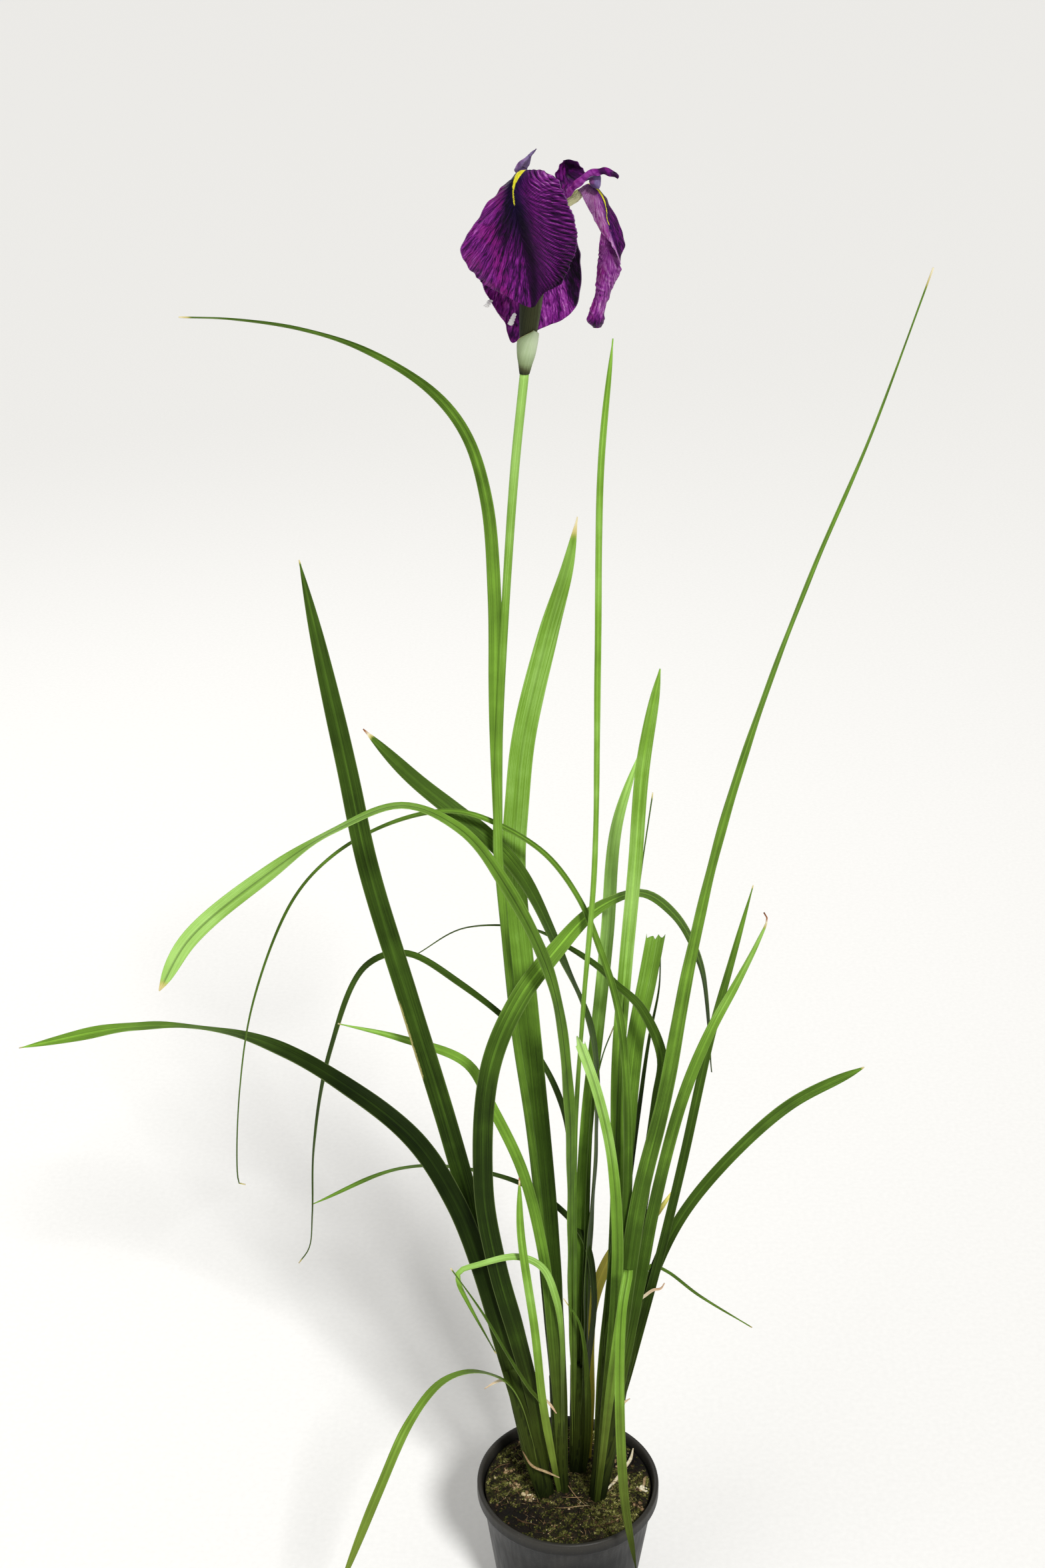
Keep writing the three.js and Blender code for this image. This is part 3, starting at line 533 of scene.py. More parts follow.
FLOWERING_LEAVES = [
    # the broad upright blade
    dict(width=14, taper=16, turn=[20, 10, 0, 0, 10],
         tone=[0.36, 0.38, 0.42, 0.54, 0.62, 0.65, 0.65], tip=16, rib=-0.2,
         route=[(-3, 95, -2), (-6, 177, 1), (-11, 258, 4), (-16, 336, 9), (-24, 433, 13),
                (-30, 502, 17), (-35, 568, 18), (-33, 610, 20), (-29, 651, 24),
                (-16, 711, 34), (-6, 749, 44), (-1, 777, 52)]),
    # the pale bent leaf
    dict(width=6.8, taper=9, turn=[20, 10, 0, 0, 0, 20],
         tone=[0.45, 0.5, 0.62, 0.66, 0.7], tip=3, rib=0.3,
         route=[(-4, 90, -7), (-6, 148, -9), (-10, 219, -10), (-17, 294, -8),
                (-30, 357, -4), (-48, 403, 0), (-63, 435, 8), (-103, 453, 26),
                (-139, 463, 44)]),
    # the pale front leaf
    dict(width=5.2, taper=14, turn=[20, 0, 0, 10],
         tone=[0.58, 0.68, 0.74, 0.7], tip=7, burn=0.9, rib=0.3,
         route=[(-4, 89, -8), (-10, 126, -16), (-17, 176, -20), (-22, 232, -26),
                (-31, 310, -36), (-32, 352, -42)]),
    # the folded ribbon
    dict(width=5, taper=5, turn=[60, 60, 60, 20, 20, 50],
         tone=[0.5, 0.5, 0.8, 0.9, 0.35], tip=3, rib=0.2,
         route=[(-2, 91, -6), (-4, 172, -8), (-5, 230, -11), (-9, 260, -15),
                (-18, 284, -20), (-34, 292, -28), (-57, 286, -40), (-70, 280, -46),
                (-70, 271, -47), (-65, 257, -47), (-47, 215, -48)]),
    # the thin one beside it
    dict(width=3, taper=3, turn=[40],
         tone=[0.4, 0.5, 0.55], tip=4, rib=0.2,
         route=[(-4, 89, -7.5), (-9, 125, -11.5), (-17, 172, -18), (-26, 187, -24),
                (-40, 215, -34), (-55, 247, -44), (-75, 283, -58)]),
    # the leaf on the stem
    dict(width=8, taper=2.4, turn=[0, 0, 0, 0, 15, 40, 55, 55],
         tone=[0.56, 0.55, 0.5, 0.42, 0.38], tip=8, rib=0.5,
         route=[(-44, 583, 0), (-45, 651, 0), (-45, 730, 0), (-49, 786, 0), (-59, 821, -4),
                (-76, 844, -10), (-110, 866, -24), (-143, 877, -42), (-177, 882, -60),
                (-204, 883, -76)]),
]

# %% The leaves of the centre shoot
CENTRE_LEAVES = [
    # the broad arch to the left
    dict(width=10, taper=80, turn=[50, 60, 62, 65, 62, 58, 55, 50, 52, 62, 74, 22, 0],
         tone=[0.6, 0.64, 0.58, 0.48, 0.66, 0.78], tip=9, burn=0.5,
         rib=-0.6,
         route=[(5, 107, 10), (4, 148, 11), (2, 231, 6), (0, 315, -4), (-2, 409, -22),
                (-13, 493, -36), (-39, 555, -40), (-65, 592, -40), (-97, 607, -40),
                (-137, 591, -44), (-176, 563, -56), (-223, 520.5, -84), (-243, 485.5, -104)]),
    # the tall thin one
    dict(width=3.6, taper=45, turn=[30, 45, 50, 40, 20, 10],
         tone=[0.5, 0.6, 0.64, 0.62], tip=0, rib=0.4,
         route=[(6, 106, 9), (4, 176, 9), (3, 283, 3), (2, 385, -3), (6, 479, -9),
                (11, 568, -12), (11, 691, -14), (11, 805, -20), (16, 872, -26)]),
    # the bright upright one
    dict(width=8, taper=20, turn=[20, 20, 10, 0, 0],
         tone=[0.5, 0.54, 0.6, 0.76, 0.74], tip=3, rib=0.3,
         route=[(7, 108, 12), (6, 204, 15), (6, 310, 18), (9, 394, 22), (14, 456, 25),
                (19, 524, 28), (23, 593, 34), (35, 640, 48)]),
    # the dull one behind
    dict(width=11, taper=24, turn=[40, 60, 75, 78, 78, 76, 50, 20, 0],
         tone=[0.42, 0.4, 0.4, 0.42, 0.4], tip=9, burn=0.9, rib=0.5,
         route=[(8, 107, 10), (10, 177, 12), (11, 284, 13), (15, 384, 12), (11, 458, 10),
                (-6, 506, 9), (-28, 558, 10), (-45, 582, 11), (-69, 604, 18),
                (-91, 624, 30), (-118, 654, 54)]),
    # the dark thin arch
    dict(width=5, taper=4, turn=[0, 30, 50, 40, 30, 60, 50],
         tone=[0.42, 0.42, 0.42, 0.36, 0.4], tip=6, rib=0.3,
         route=[(6, 109, 13), (6, 150, 13), (4, 232, 15), (2, 335, 18), (-6, 405, 23),
                (-28, 452, 28), (-67, 491, 34), (-97, 511, 44), (-121, 503, 54),
                (-145, 442, 66), (-157, 375, 76), (-160, 325, 82), (-163, 299, 85),
                (-170, 287, 87)]),
    # the low one to the left
    dict(width=5, taper=12, turn=[30, 40, 50, 50, 45, 45, 50, 68, 76, 50, 20],
         tone=[0.4, 0.35, 0.35, 0.6, 0.7], tip=3, rib=0.4,
         route=[(8, 109, 13), (12, 201, 12), (15, 266, 10), (7, 309, 16), (-23, 343, 34),
                (-65, 359, 52), (-105, 359, 72), (-160, 332, 98)]),
    # a small curled one
    dict(width=4.5, taper=3, turn=[0],
         tone=[0.4, 0.5, 0.55], tip=9, rib=0.2,
         route=[(9, 105, 8), (12, 131, 7), (12, 188, 2), (6, 240, -3), (-4, 259, -5)]),
    # a thin one
    dict(width=4, taper=3, turn=[20],
         tone=[0.4, 0.4, 0.45], tip=10, rib=0.2,
         route=[(8, 108, 12), (11, 376, 12), (13, 414, 10), (18, 442, 8), (24, 461, 6)]),
]

# %% The leaves of the right shoot
RIGHT_LEAVES = [
    # the long whip
    dict(width=13, taper=1.3, turn=[0, 0, 0, 0, 15, 28, 42, 52, 56, 50, 30],
         tone=[0.4, 0.5, 0.54, 0.54, 0.54, 0.45], tip=14, rib=0.5,
         route=[(19, 81, -16), (23, 131, -16), (32, 231, -18), (42, 336, -22),
                (55, 409, -25), (67, 502, -30), (82, 589, -38), (102, 671, -48),
                (126, 750, -60), (150, 819, -74), (176, 908, -96)]),
    # the thin drooping one
    dict(width=7.5, taper=1.2, turn=[20, 0, 10, 30, 40, 40, 40, 40],
         tone=[0.42, 0.46, 0.5, 0.5, 0.42, 0.4], tip=6, rib=0.5,
         route=[(18, 83, -14), (25, 148, -14), (33, 284, -16), (34, 385, -18),
                (27, 470, -14), (14, 517, -8), (3, 546, -2), (-16, 575, 3), (-40, 593, 6),
                (-65, 603, 9), (-99, 598, 28), (-138, 575, 42), (-162, 546, 36),
                (-188, 479, 16), (-200, 414, 0), (-204.5, 353, -10), (-203.5, 347.5, -10),
                (-200, 347, -10)]),
    # a bright upright one
    dict(width=8, taper=34, turn=[10, 0, 0, 10],
         tone=[0.44, 0.54, 0.62, 0.72, 0.58], tip=0, rib=0.4,
         route=[(19, 85, -12), (23, 132, -13), (26, 232, -10), (28, 335, -5), (27, 433, 0),
                (30, 502, 2), (34, 568, -2), (37, 631, -8), (45, 690, -16)]),
    # a thin dark one
    dict(width=4, taper=2.5, turn=[20],
         tone=[0.4, 0.4, 0.5, 0.35], tip=5, rib=0.2,
         route=[(19, 84, -13), (23, 222, -10), (27, 336, -6), (28, 409, -2), (30, 475, 2),
                (36, 549, 6), (43, 615, 12)]),
    # the leaf with a cut top
    dict(width=11.5, taper=6, cut=0.95, turn=[0, 10, 30, 20, 0],
         tone=[0.44, 0.5, 0.57, 0.66], tip=0, rib=0.3,
         route=[(19, 84, -13), (24, 204, -10), (30, 310, -5), (33, 385, 1), (37, 452, 6),
                (43, 493, 10), (47, 522, 14)]),
    # the long bend over the others
    dict(width=7.5, taper=4, turn=[0, 0, 0, 20, 0, 0, 50, 70, 70],
         tone=[0.42, 0.46, 0.5, 0.4, 0.3], tip=3, rib=0.5,
         route=[(19, 84, -13), (25, 148, -13), (36, 258, -13), (44, 335, -13),
                (51, 410, -14), (53, 440, -14), (39, 475, -12), (25, 490, -4),
                (14, 502, 12), (-3, 515, 28), (-24, 527, 40), (-63, 528, 50),
                (-92, 510, 60)]),
    # an upright one to the right
    dict(width=5.6, taper=12, turn=[0, 0, 10, 20],
         tone=[0.36, 0.36, 0.44, 0.5], tip=3, rib=0.3,
         route=[(19, 84, -13), (25, 131, -14), (41, 215, -12), (56, 294, -10),
                (68, 365, -6), (81, 451, 2), (92, 507, 12), (102, 556, 24)]),
    # the one with a hooked tip
    dict(width=7.5, taper=8, turn=[0, 0, 10, 30],
         tone=[0.4, 0.46, 0.55, 0.7], tip=14, burn=1.0, rib=0.3,
         route=[(19, 81, -16), (27, 147, -16), (44, 273, -18), (52, 335, -20),
                (66, 409, -24), (81.6, 459, -30), (95.7, 491.7, -36), (106.8, 519.7, -42),
                (111, 534, -46), (109, 538, -47)]),
    # the arch to the right
    dict(width=7, taper=34, turn=[0, 0, 10, 20],
         tone=[0.36, 0.36, 0.4, 0.5, 0.54], tip=3, rib=0.4,
         route=[(19, 83, -14), (25, 131, -14), (39, 215, -12), (54, 285, -8),
                (71, 328, -4), (99.5, 371, 4), (132, 406.5, 20), (174, 432.5, 40)]),
    # the bright folded one in front
    dict(width=6, taper=20, turn=[0, 0, 0, 0],
         tone=[0.5, 0.6, 0.74, 0.66, 0.42], tip=0, rib=-0.6,
         route=[(19, 79, -18), (22, 119, -19), (27, 187, -23), (33, 252, -31),
                (36, 282, -40), (36, 278, -44), (33, 250, -48), (33, 176, -58),
                (38, 91, -70), (47, 29, -76)]),
    # the pale one with a folded top
    dict(width=7.5, taper=6, cut=0.8, turn=[10, 0, 0, 10],
         tone=[0.46, 0.56, 0.68, 0.84], tip=0, rib=-0.5,
         route=[(19, 80, -17), (25, 177, -18), (29, 258, -20), (29, 310, -24),
                (24, 370, -28), (15, 414, -30), (3.5, 451.5, -30)]),
    # a thin one low on the right
    dict(width=2.2, taper=8, turn=[30],
         tone=[0.4, 0.42, 0.55, 0.6], tip=4, rib=0.2,
         route=[(19, 84, -13), (33, 187, -12), (44, 258, -10), (50, 285, -8),
                (60, 281, -4), (81, 262, 6), (116, 236, 24)]),
    # a dark one at the back
    dict(width=3.5, taper=5, turn=[30],
         tone=[0.36, 0.34, 0.32], tip=3, rib=0.2,
         route=[(18, 88, -13), (30, 280, -2), (40, 400, 10), (45, 452, 15), (50, 488, 18),
                (50, 515, 20)]),
]

# %% Dry scraps among the leaves
SCRAPS = [
    dict(width=2, taper=4, turn=[20], tone=[0.4], tip=60, burn=0.72, rib=0,
         route=[(-36, 184, -13), (-42.5, 193, -14), (-48, 191, -15), (-54.5, 186, -16)]),
    dict(width=1.6, taper=4, turn=[20], tone=[0.4], tip=60, burn=0.74, rib=0,
         route=[(-15.3, 177.7, -19), (-11.5, 172, -19), (-7.9, 165.4, -18)]),
    dict(width=2, taper=4, turn=[20], tone=[0.4], tip=60, burn=0.7, rib=0,
         route=[(32, 166, -20), (35.3, 173.8, -21), (39.5, 177.7, -22)]),
    dict(width=2, taper=4, turn=[20], tone=[0.3], tip=60, burn=0.74, rib=0,
         route=[(44, 258, -13), (52.3, 265.9, -13), (57, 267, -13), (59.3, 271.2, -13)]),
]

# %% [markdown]
# ## The blade
#
# A blade is a grid of points: one direction follows the midrib and the other crosses it.
# The section is a shallow keel with a raised rib, about half a millimetre thick at its
# edges. Its edges are waved a little, because no real leaf is quite flat. The listed
# turn shows more or less of its face, as a leaf does that twists while it arches.

# %% Sizes of a blade, in millimetres, degrees and shares
ROW_STEP = 4.2
FEWEST_ROWS, MOST_ROWS = 20, 230
BLADE_COLUMNS = 13
KEEL = 0.14
TIP_WIDTH = 0.7
NECK = 0.5
EDGE_THICK = 0.45
RIB_THICK, RIB_WIDTH = 0.75, 0.9
WAVE, WAVE_LENGTH = 0.045, 52.0
DRIFT, DRIFT_LENGTH = 5.0, 160.0
RAGGED = 1.6
CRIMP_FADE, CRIMP_PITCH, SCAR_FADE = 15, 0.8, 10
DRY_REACH = 1.4
USUAL_BURN = 0.62


# %% Blade
def place_seen(point):
    """Slides a place in the upright plane along the eye's line of sight to its depth."""
    x, z, depth = point
    share = (depth - EYE[1]) / -EYE[1]
    return (EYE[0] + (x - EYE[0]) * share, depth, EYE[2] + (z - EYE[2]) * share)


def blade_frame(centre, along, turn):
    """The directions across a blade and out of its face. The face looks at the eye,
    square to the line, and is turned about the line by an angle in radians."""
    front = EYE - centre
    face = unit(front - along * np.sum(front * along, axis=1, keepdims=True))
    turn = turn[:, None]
    face = face * np.cos(turn) + np.cross(along, face) * np.sin(turn)
    return np.cross(along, face), face


def blade(leaf, seed, crimp=None):
    """Half width = width / 2 * neck * (1 - t ** taper). Lift above the midrib line is a
    keel that is lowest at the middle, plus a wave that grows towards the edges. A crimp
    is a scarred stretch of one edge: where it starts and ends, and how high it ripples."""
    dice = np.random.default_rng(seed)
    line = smooth_line([place_seen(point) for point in leaf["route"]])
    total = line_length(line)[-1]
    rows = int(np.clip(total / ROW_STEP, FEWEST_ROWS, MOST_ROWS))
    t = np.linspace(0, 1, rows)
    centre = walk(line, t)
    along = unit(np.gradient(centre, axis=0))
    drift = DRIFT * np.sin(2 * np.pi * (t * total / DRIFT_LENGTH + dice.uniform()))
    across, face = blade_frame(centre, along, np.radians(eased(leaf["turn"], t) + drift))
    u = np.sin(np.linspace(-np.pi / 2, np.pi / 2, BLADE_COLUMNS))
    shape = (NECK + (1 - NECK) * np.minimum(1, 4 * t)) * np.maximum(
        1 - t ** leaf["taper"], leaf.get("cut", 0))
    half = np.maximum(leaf["width"] * shape, TIP_WIDTH)[:, None] / 2
    x = half * u
    mm = (t * total)[:, None]
    wave = WAVE * half * u**2 * np.sin(2 * np.pi * mm / WAVE_LENGTH + 2 * u
                                       + dice.uniform(0, 6))
    scar = 0 * x
    if crimp:
        start, end, size = crimp
        reach = step_up(mm, start, start + CRIMP_FADE) * step_up(mm, end, end - CRIMP_FADE)
        wave = wave + size * reach * step_up(-u, 0.35, 1) * np.sin(mm * CRIMP_PITCH)
        scar = step_up(mm, start, start + SCAR_FADE) * step_up(mm, end, end - SCAR_FADE)
        scar = scar * step_up(-u, 0.6, 1)
    lift = wave - KEEL * half * (1 - np.abs(u))
    thick = EDGE_THICK + RIB_THICK * np.minimum(half / 6, 1) * np.exp(-(x / RIB_WIDTH) ** 2)
    middle = centre[:, None] + across[:, None] * x[..., None]
    if "cut" in leaf:
        ragged = RAGGED * step_up(t, 0.96, 1)[:, None] * ripples(seed, 6, 1, 3)(x, 0 * x)
        middle = middle + along[:, None] * ragged[..., None]
    dry = 0 * mm
    if leaf["tip"]:
        from_here = total - leaf["tip"] * DRY_REACH
        dry = step_up(mm, from_here, total) * leaf.get("burn", USUAL_BURN)
    return shell(ring_of(middle + face[:, None] * (lift + thick / 2)[..., None],
                         middle + face[:, None] * (lift - thick / 2)[..., None]),
                 grain=(both(x), mm, float(seed)),
                 share=(both(u + 0 * x), t[:, None], straight(leaf["tone"], t)[:, None]),
                 mark=(dry, leaf["rib"], both(scar)))


# %% [markdown]
# ## Sheaths and the flower stem
#
# The leaves of a shoot clasp each other at the foot in a flat fan, one fold inside the
# next. A plain rod would look like a pipe, so the rod's section is fluted: each flute is
# the edge of one folded leaf. The flower stem is a round rod with a slight swelling where
# its one leaf leaves it.

# %% Rods
FLUTES_ROUND = 7
GROOVE_SHADE = 0.12


def rod(stations, sides, rows, seed, tone, flutes=0.0):
    """An oval section carried along a line through stations of place, width and depth.
    Flutes deepen it by flutes * a saw of the angle, which drifts slowly along the rod."""
    line = smooth_line([station[:3] for station in stations])
    length = line_length(line)
    marks = length[::LINE_STEPS] / length[-1]
    t = np.linspace(0, 1, rows)
    centre = walk(line, t)
    along = unit(np.gradient(centre, axis=0))
    across, face = blade_frame(centre, along, np.zeros(rows))
    wide, deep = (np.interp(t, marks, [station[k] for station in stations])[:, None] / 2
                  for k in (3, 4))
    angle = np.pi * (1 - (2 * np.arange(sides) + 1) / sides)[None]
    saw = np.mod(angle / np.pi * FLUTES_ROUND / 2 + 0.5 * np.sin(5 * t + seed)[:, None], 1.0)
    swell = 1 - flutes * step_up(saw, 0.75, 1.0) * (1 - step_up(saw, 0.97, 1.0))
    rings = (centre[:, None] + across[:, None] * (wide * np.cos(angle) * swell)[..., None]
             + face[:, None] * (deep * np.sin(angle) * swell)[..., None])
    tones = straight(tone, t)[:, None] - GROOVE_SHADE * (saw > 0.86) * (flutes > 0)
    return shell(rings, grain=(wide * (angle + np.pi) + 2, (t * length[-1])[:, None], float(seed)),
                 share=(0.0, t[:, None], tones))


# %% Sheath and stem stations: place, width, depth
LEFT_SHEATH = [(-14, -11, 97, 10, 7), (-16, -11, 112, 13, 7), (-22, -11, 140, 15, 6),
               (-29, -12, 180, 15, 5), (-36, -13, 214, 13, 4)]
FLOWERING_SHEATH = [(-3, -5, 97, 9.5, 10.5), (-5, -5, 125, 9, 10), (-7, -5, 160, 9, 9),
                    (-9, -4, 200, 8, 8)]
CENTRE_SHEATH = [(7, 11, 97, 11, 8), (7, 11, 120, 12, 8), (7, 12, 160, 12, 7),
                 (6, 12, 195, 10, 6)]
RIGHT_SHEATH = [(18, -14, 97, 10, 8), (20, -14, 115, 12, 8), (24, -14, 150, 15, 7),
                (28, -14, 200, 18, 6), (33, -13, 250, 18, 4)]
STEM = [(-3, -5, 97, 7, 7), (-9, -5, 192, 6, 6), (-16, -3, 287, 5.4, 5.4),
        (-25, -1, 386, 5.2, 5.2), (-34, 0, 456, 5, 5), (-40, 0, 524, 4.8, 4.8),
        (-44, 0, 580, 5.6, 5.6), (-44, 0, 586, 5.6, 5.6), (-43, 0, 651, 4.4, 4.4),
        (-39, 0, 730, 4.4, 4.4), (-34, 0, 804, 4.8, 4.8), (-29, 0, 854, 4.8, 4.8)]
SHEATH_FLUTES = 0.09
LEFT_CRIMP = (330, 395, 0.9)


# %% The four shoots
def leafy_shoot(leaves, seed, crimp=None):
    """The leaves of a shoot, with their seeds one after another. A crimp is for the first."""
    return [blade(one, seed + k, crimp if k == 0 else None) for k, one in enumerate(leaves)]


def sheath(stations, sides, rows, seed, tone):
    return rod(stations, sides, rows, seed, tone, flutes=SHEATH_FLUTES)


left = leafy_shoot(LEFT_LEAVES, 10, LEFT_CRIMP)
left.append(sheath(LEFT_SHEATH, sides=40, rows=60, seed=19, tone=[0.3, 0.34, 0.36, 0.38]))
flowering = leafy_shoot(FLOWERING_LEAVES, 20)
flowering.append(sheath(FLOWERING_SHEATH, sides=36, rows=60, seed=29, tone=[0.34, 0.4, 0.42]))
flowering.append(rod(STEM, sides=24, rows=240, seed=28,
                     tone=[0.48, 0.52, 0.54, 0.57, 0.6, 0.76]))
centre = leafy_shoot(CENTRE_LEAVES, 40)
centre.append(sheath(CENTRE_SHEATH, sides=36, rows=60, seed=49, tone=[0.3, 0.38, 0.4]))
right = leafy_shoot(RIGHT_LEAVES, 60)
right.append(sheath(RIGHT_SHEATH, sides=40, rows=80, seed=79, tone=[0.26, 0.32, 0.36, 0.4]))

for name, shells in {"left": left, "flowering": flowering, "centre": centre,
                     "right": right}.items():
    make_piece(name + "_fan", shells, leaf, name + "_shoot")
make_piece("dry_scraps", leafy_shoot(SCRAPS, 90), leaf)

# %% [markdown]
# ## The finish of a petal
#
# The falls are a deep violet with magenta freckles, and painted light lays a magenta glow on
# the left half of each, where the light falls. A short yellow stroke, the signal, marks the
# middle of each fall, and blue-violet lies around it.
# From the signal fine dark veins and soft wrinkles fan out to a thin pale margin. Grain
# holds the angle of the fan, the distance from the signal and a number for each petal.
# Share holds the share across, the share along and the tone. Mark holds the signal, the
# blue-violet round it, and the pale green foot.

# %% Petal finish
VIOLETS = ((0.0, "08010c"), (0.25, "180220"), (0.45, "3a0644"), (0.62, "6a1471"),
           (0.8, "97409a"), (1.0, "cc9ccb"))
LILACS = ((0.0, "241838"), (0.3, "43325c"), (0.55, "665381"), (0.8, "86749f"), (1.0, "b0a2c2"))
DEEP_BLUES = ((0.1, "040112"), (0.6, "180940"), (1.0, "3f2878"))
FOOT_GREENS = ((0.2, "74782a"), (0.8, "e6e6b0"))
SIGNAL_YELLOWS = ((0.25, "dccb1a"), (0.55, "f8ef3e"))
MAGENTA, PALE_RIM = shade("85106e"), shade("94689f")
THREAD_STEP, THREAD_DARK = (0.07, 0.0), 0.2
PAINTED_LIGHT_LEFT, PAINTED_LIGHT_PATCHES = (0.0, -0.5), (0.4, 0.7, 0.55)
FRECKLE_STEP = (0.6, 0.74, 0.4)
FOOT_STEP = (0.3, 0.7)
SIGNAL_STEP = (0.42, 0.56)
RIM_STEP = (0.975, 0.996, 0.6)


def petal_finish(name, colours):
    """The level picks the violet: it is the tone, made uneven by streaks along the veins,
    patches and cells, and darker on the winding threads. The markings and a painted magenta
    glow of light on the left half are laid over it."""
    r = Recipe(name, specular=0.1)
    vein, reach, seed = r.notes("grain")
    side, _, tone = r.notes("share")
    signal, deep, foot = r.notes("mark")
    place = r.place()
    vein = vein + r.noise(place, 190.0, detail=2.0).around(0.8)
    coarse = r.noise(r.vector(vein * 1.5, reach * 0.1, seed), roughness=0.62)
    fine = r.noise(r.vector(vein * 4.0, reach * 0.3, seed), detail=2.0, roughness=0.6)
    winding = r.noise(r.vector(vein * 1.3, reach * 0.09, seed + 40.0), detail=1.0)
    threads = r.rise(abs(winding.around(1.0)), *THREAD_STEP)
    cells = r.noise(place, 1900.0, detail=1.0)
    patches = r.noise(place, 110.0, detail=2.0)

    level = tone + coarse.around(0.34) + fine.around(0.7) + 0.05 - threads * THREAD_DARK
    level = level + patches.around(0.12) + cells.around(0.1)
    violet = r.ramp(level, *colours)
    # Painted light: a magenta glow in patches on the left half, where the light falls; the
    # freckles are the petal's own.
    left = r.rise(side, *PAINTED_LIGHT_LEFT) * r.rise(patches, *PAINTED_LIGHT_PATCHES)
    freckle = r.rise(r.noise(place, 560.0, detail=2.0), *FRECKLE_STEP)
    violet = r.mix((left + freckle) * r.rise(level, 0.3, 0.6), violet, MAGENTA)
    violet = r.mix(deep * 0.9, violet, r.ramp(level, *DEEP_BLUES))
    green = r.ramp(level, *FOOT_GREENS)
    violet = r.mix(r.rise(foot + fine.around(0.4), *FOOT_STEP), violet, green)
    glow = r.rise(signal + fine.around(1.5), *SIGNAL_STEP)
    violet = r.mix(glow, violet, r.ramp(fine, *SIGNAL_YELLOWS))
    rim = r.rise(abs(side), *RIM_STEP)
    violet = r.mix(rim * (1.0 - foot), violet, PALE_RIM)
    relief = coarse * 0.7 + fine * 0.6 - threads * 0.3
    gloss = 0.48 + coarse.around(0.2)
    return r.finish(violet, gloss, relief, strength=0.8, distance=0.0008)


petal_violet = petal_finish("petal_violet", VIOLETS)
crest_lilac = petal_finish("crest_lilac", LILACS)

# %% [markdown]
# ## Drawing the petals
#
# A petal could be grown from a spine and a list of widths, but a drooping fall has two
# halves that hang, fold and curl in different ways. So each petal is drawn as a small
# net of places instead, from its foot to its end and from its left margin to its right.
# The places are written as the leaves are: across, up, and how far behind the upright
# plane. A smooth sheet is then laid through the net.

# %% The nets of the falls
FRONT_FALL = [
    [(-25.5, 931.5, -5), (-24.5, 931.5, -5.6), (-23, 931.5, -6),
     (-21.5, 931.5, -5.6), (-20.5, 931.5, -5)],
    [(-28, 945.5, -12), (-26.5, 947.5, -12.6), (-25, 948.5, -13),
     (-23.5, 947.5, -12.6), (-22, 945.5, -12)],
    [(-32, 954.5, -18), (-30.5, 955, -19), (-29.5, 955.5, -19),
     (-25.5, 955.5, -18.5), (-22, 955, -17)],
    [(-36.5, 951, -22), (-34.5, 952, -24), (-32.5, 952.5, -24.5),
     (-24, 953.5, -24.5), (-14.5, 952.5, -20)],
    [(-41.5, 946, -26), (-38, 945.5, -30), (-34.5, 946.5, -29),
     (-22.5, 948, -31.5), (-10.5, 947, -24)],
    [(-47.5, 939.5, -28), (-41, 937.5, -33.5), (-34, 939, -31),
     (-20, 940, -36), (-8, 940.5, -27)],
    [(-54.5, 928.5, -28), (-45, 926.5, -36), (-32, 928.5, -33),
     (-17.5, 930.5, -39), (-4.5, 932, -29)],
    [(-61, 918, -28), (-48.5, 914.5, -37), (-29.5, 917, -34.5),
     (-14.5, 919.5, -40), (-2.5, 922.5, -30)],
    [(-58, 910.5, -29), (-46, 905, -37), (-27.5, 906.5, -35),
     (-13.5, 909, -39), (-4.5, 913.5, -30)],
    [(-54.5, 905, -30), (-43, 899, -37), (-26.5, 896.5, -35),
     (-14.5, 901, -37), (-7.5, 906.5, -31)],
    [(-51, 901, -31), (-39.5, 894.5, -36), (-25.5, 888, -34), (-20, 894.5, -34), (-10, 900, -32)],
]
RIGHT_FALL = [
    [(-16.5, 932.5, -2), (-16, 932.5, 0), (-16, 933, 1.3), (-16, 933, 2.6), (-16.5, 934, 4.5)],
    [(-9.5, 939.5, -2.8), (-8, 938, -0.8), (-7.5, 938, 1.3), (-8, 938.5, 3.4), (-9.5, 941, 5.5)],
    [(-3.5, 944.5, -3), (-2, 943, -1), (-1, 942.5, 1.3), (-2, 943.5, 3.5), (-3.5, 946, 5.5)],
    [(-2, 946, -2), (0, 948, 0), (2, 949, 2), (3.5, 949, 4), (5.5, 948.5, 6)],
    [(0.5, 941.5, -4), (4, 944, -5), (7, 946.5, -2), (8.5, 945.5, 2), (10, 943.5, 5)],
    [(5, 933, -5), (7.5, 936.5, -7), (10.5, 940.5, -3), (12.5, 939, 1), (15, 936, 4)],
    [(9, 925.5, -6), (10.5, 929, -7), (12, 932.5, -3), (15.5, 930.5, 1), (19, 927, 4)],
    [(14, 920.5, -6), (13.5, 923, -6), (14, 925.5, -2), (18, 923.5, 1), (21, 920, 4)],
    [(17, 914.5, -5), (16.5, 916.5, -4), (16.5, 918.5, -1), (18.5, 917.5, 1), (20, 916, 3)],
    [(19, 909.5, -4), (19, 910.5, -3), (19, 911, -1), (19, 911.5, 0), (19, 911.5, 1)],
]
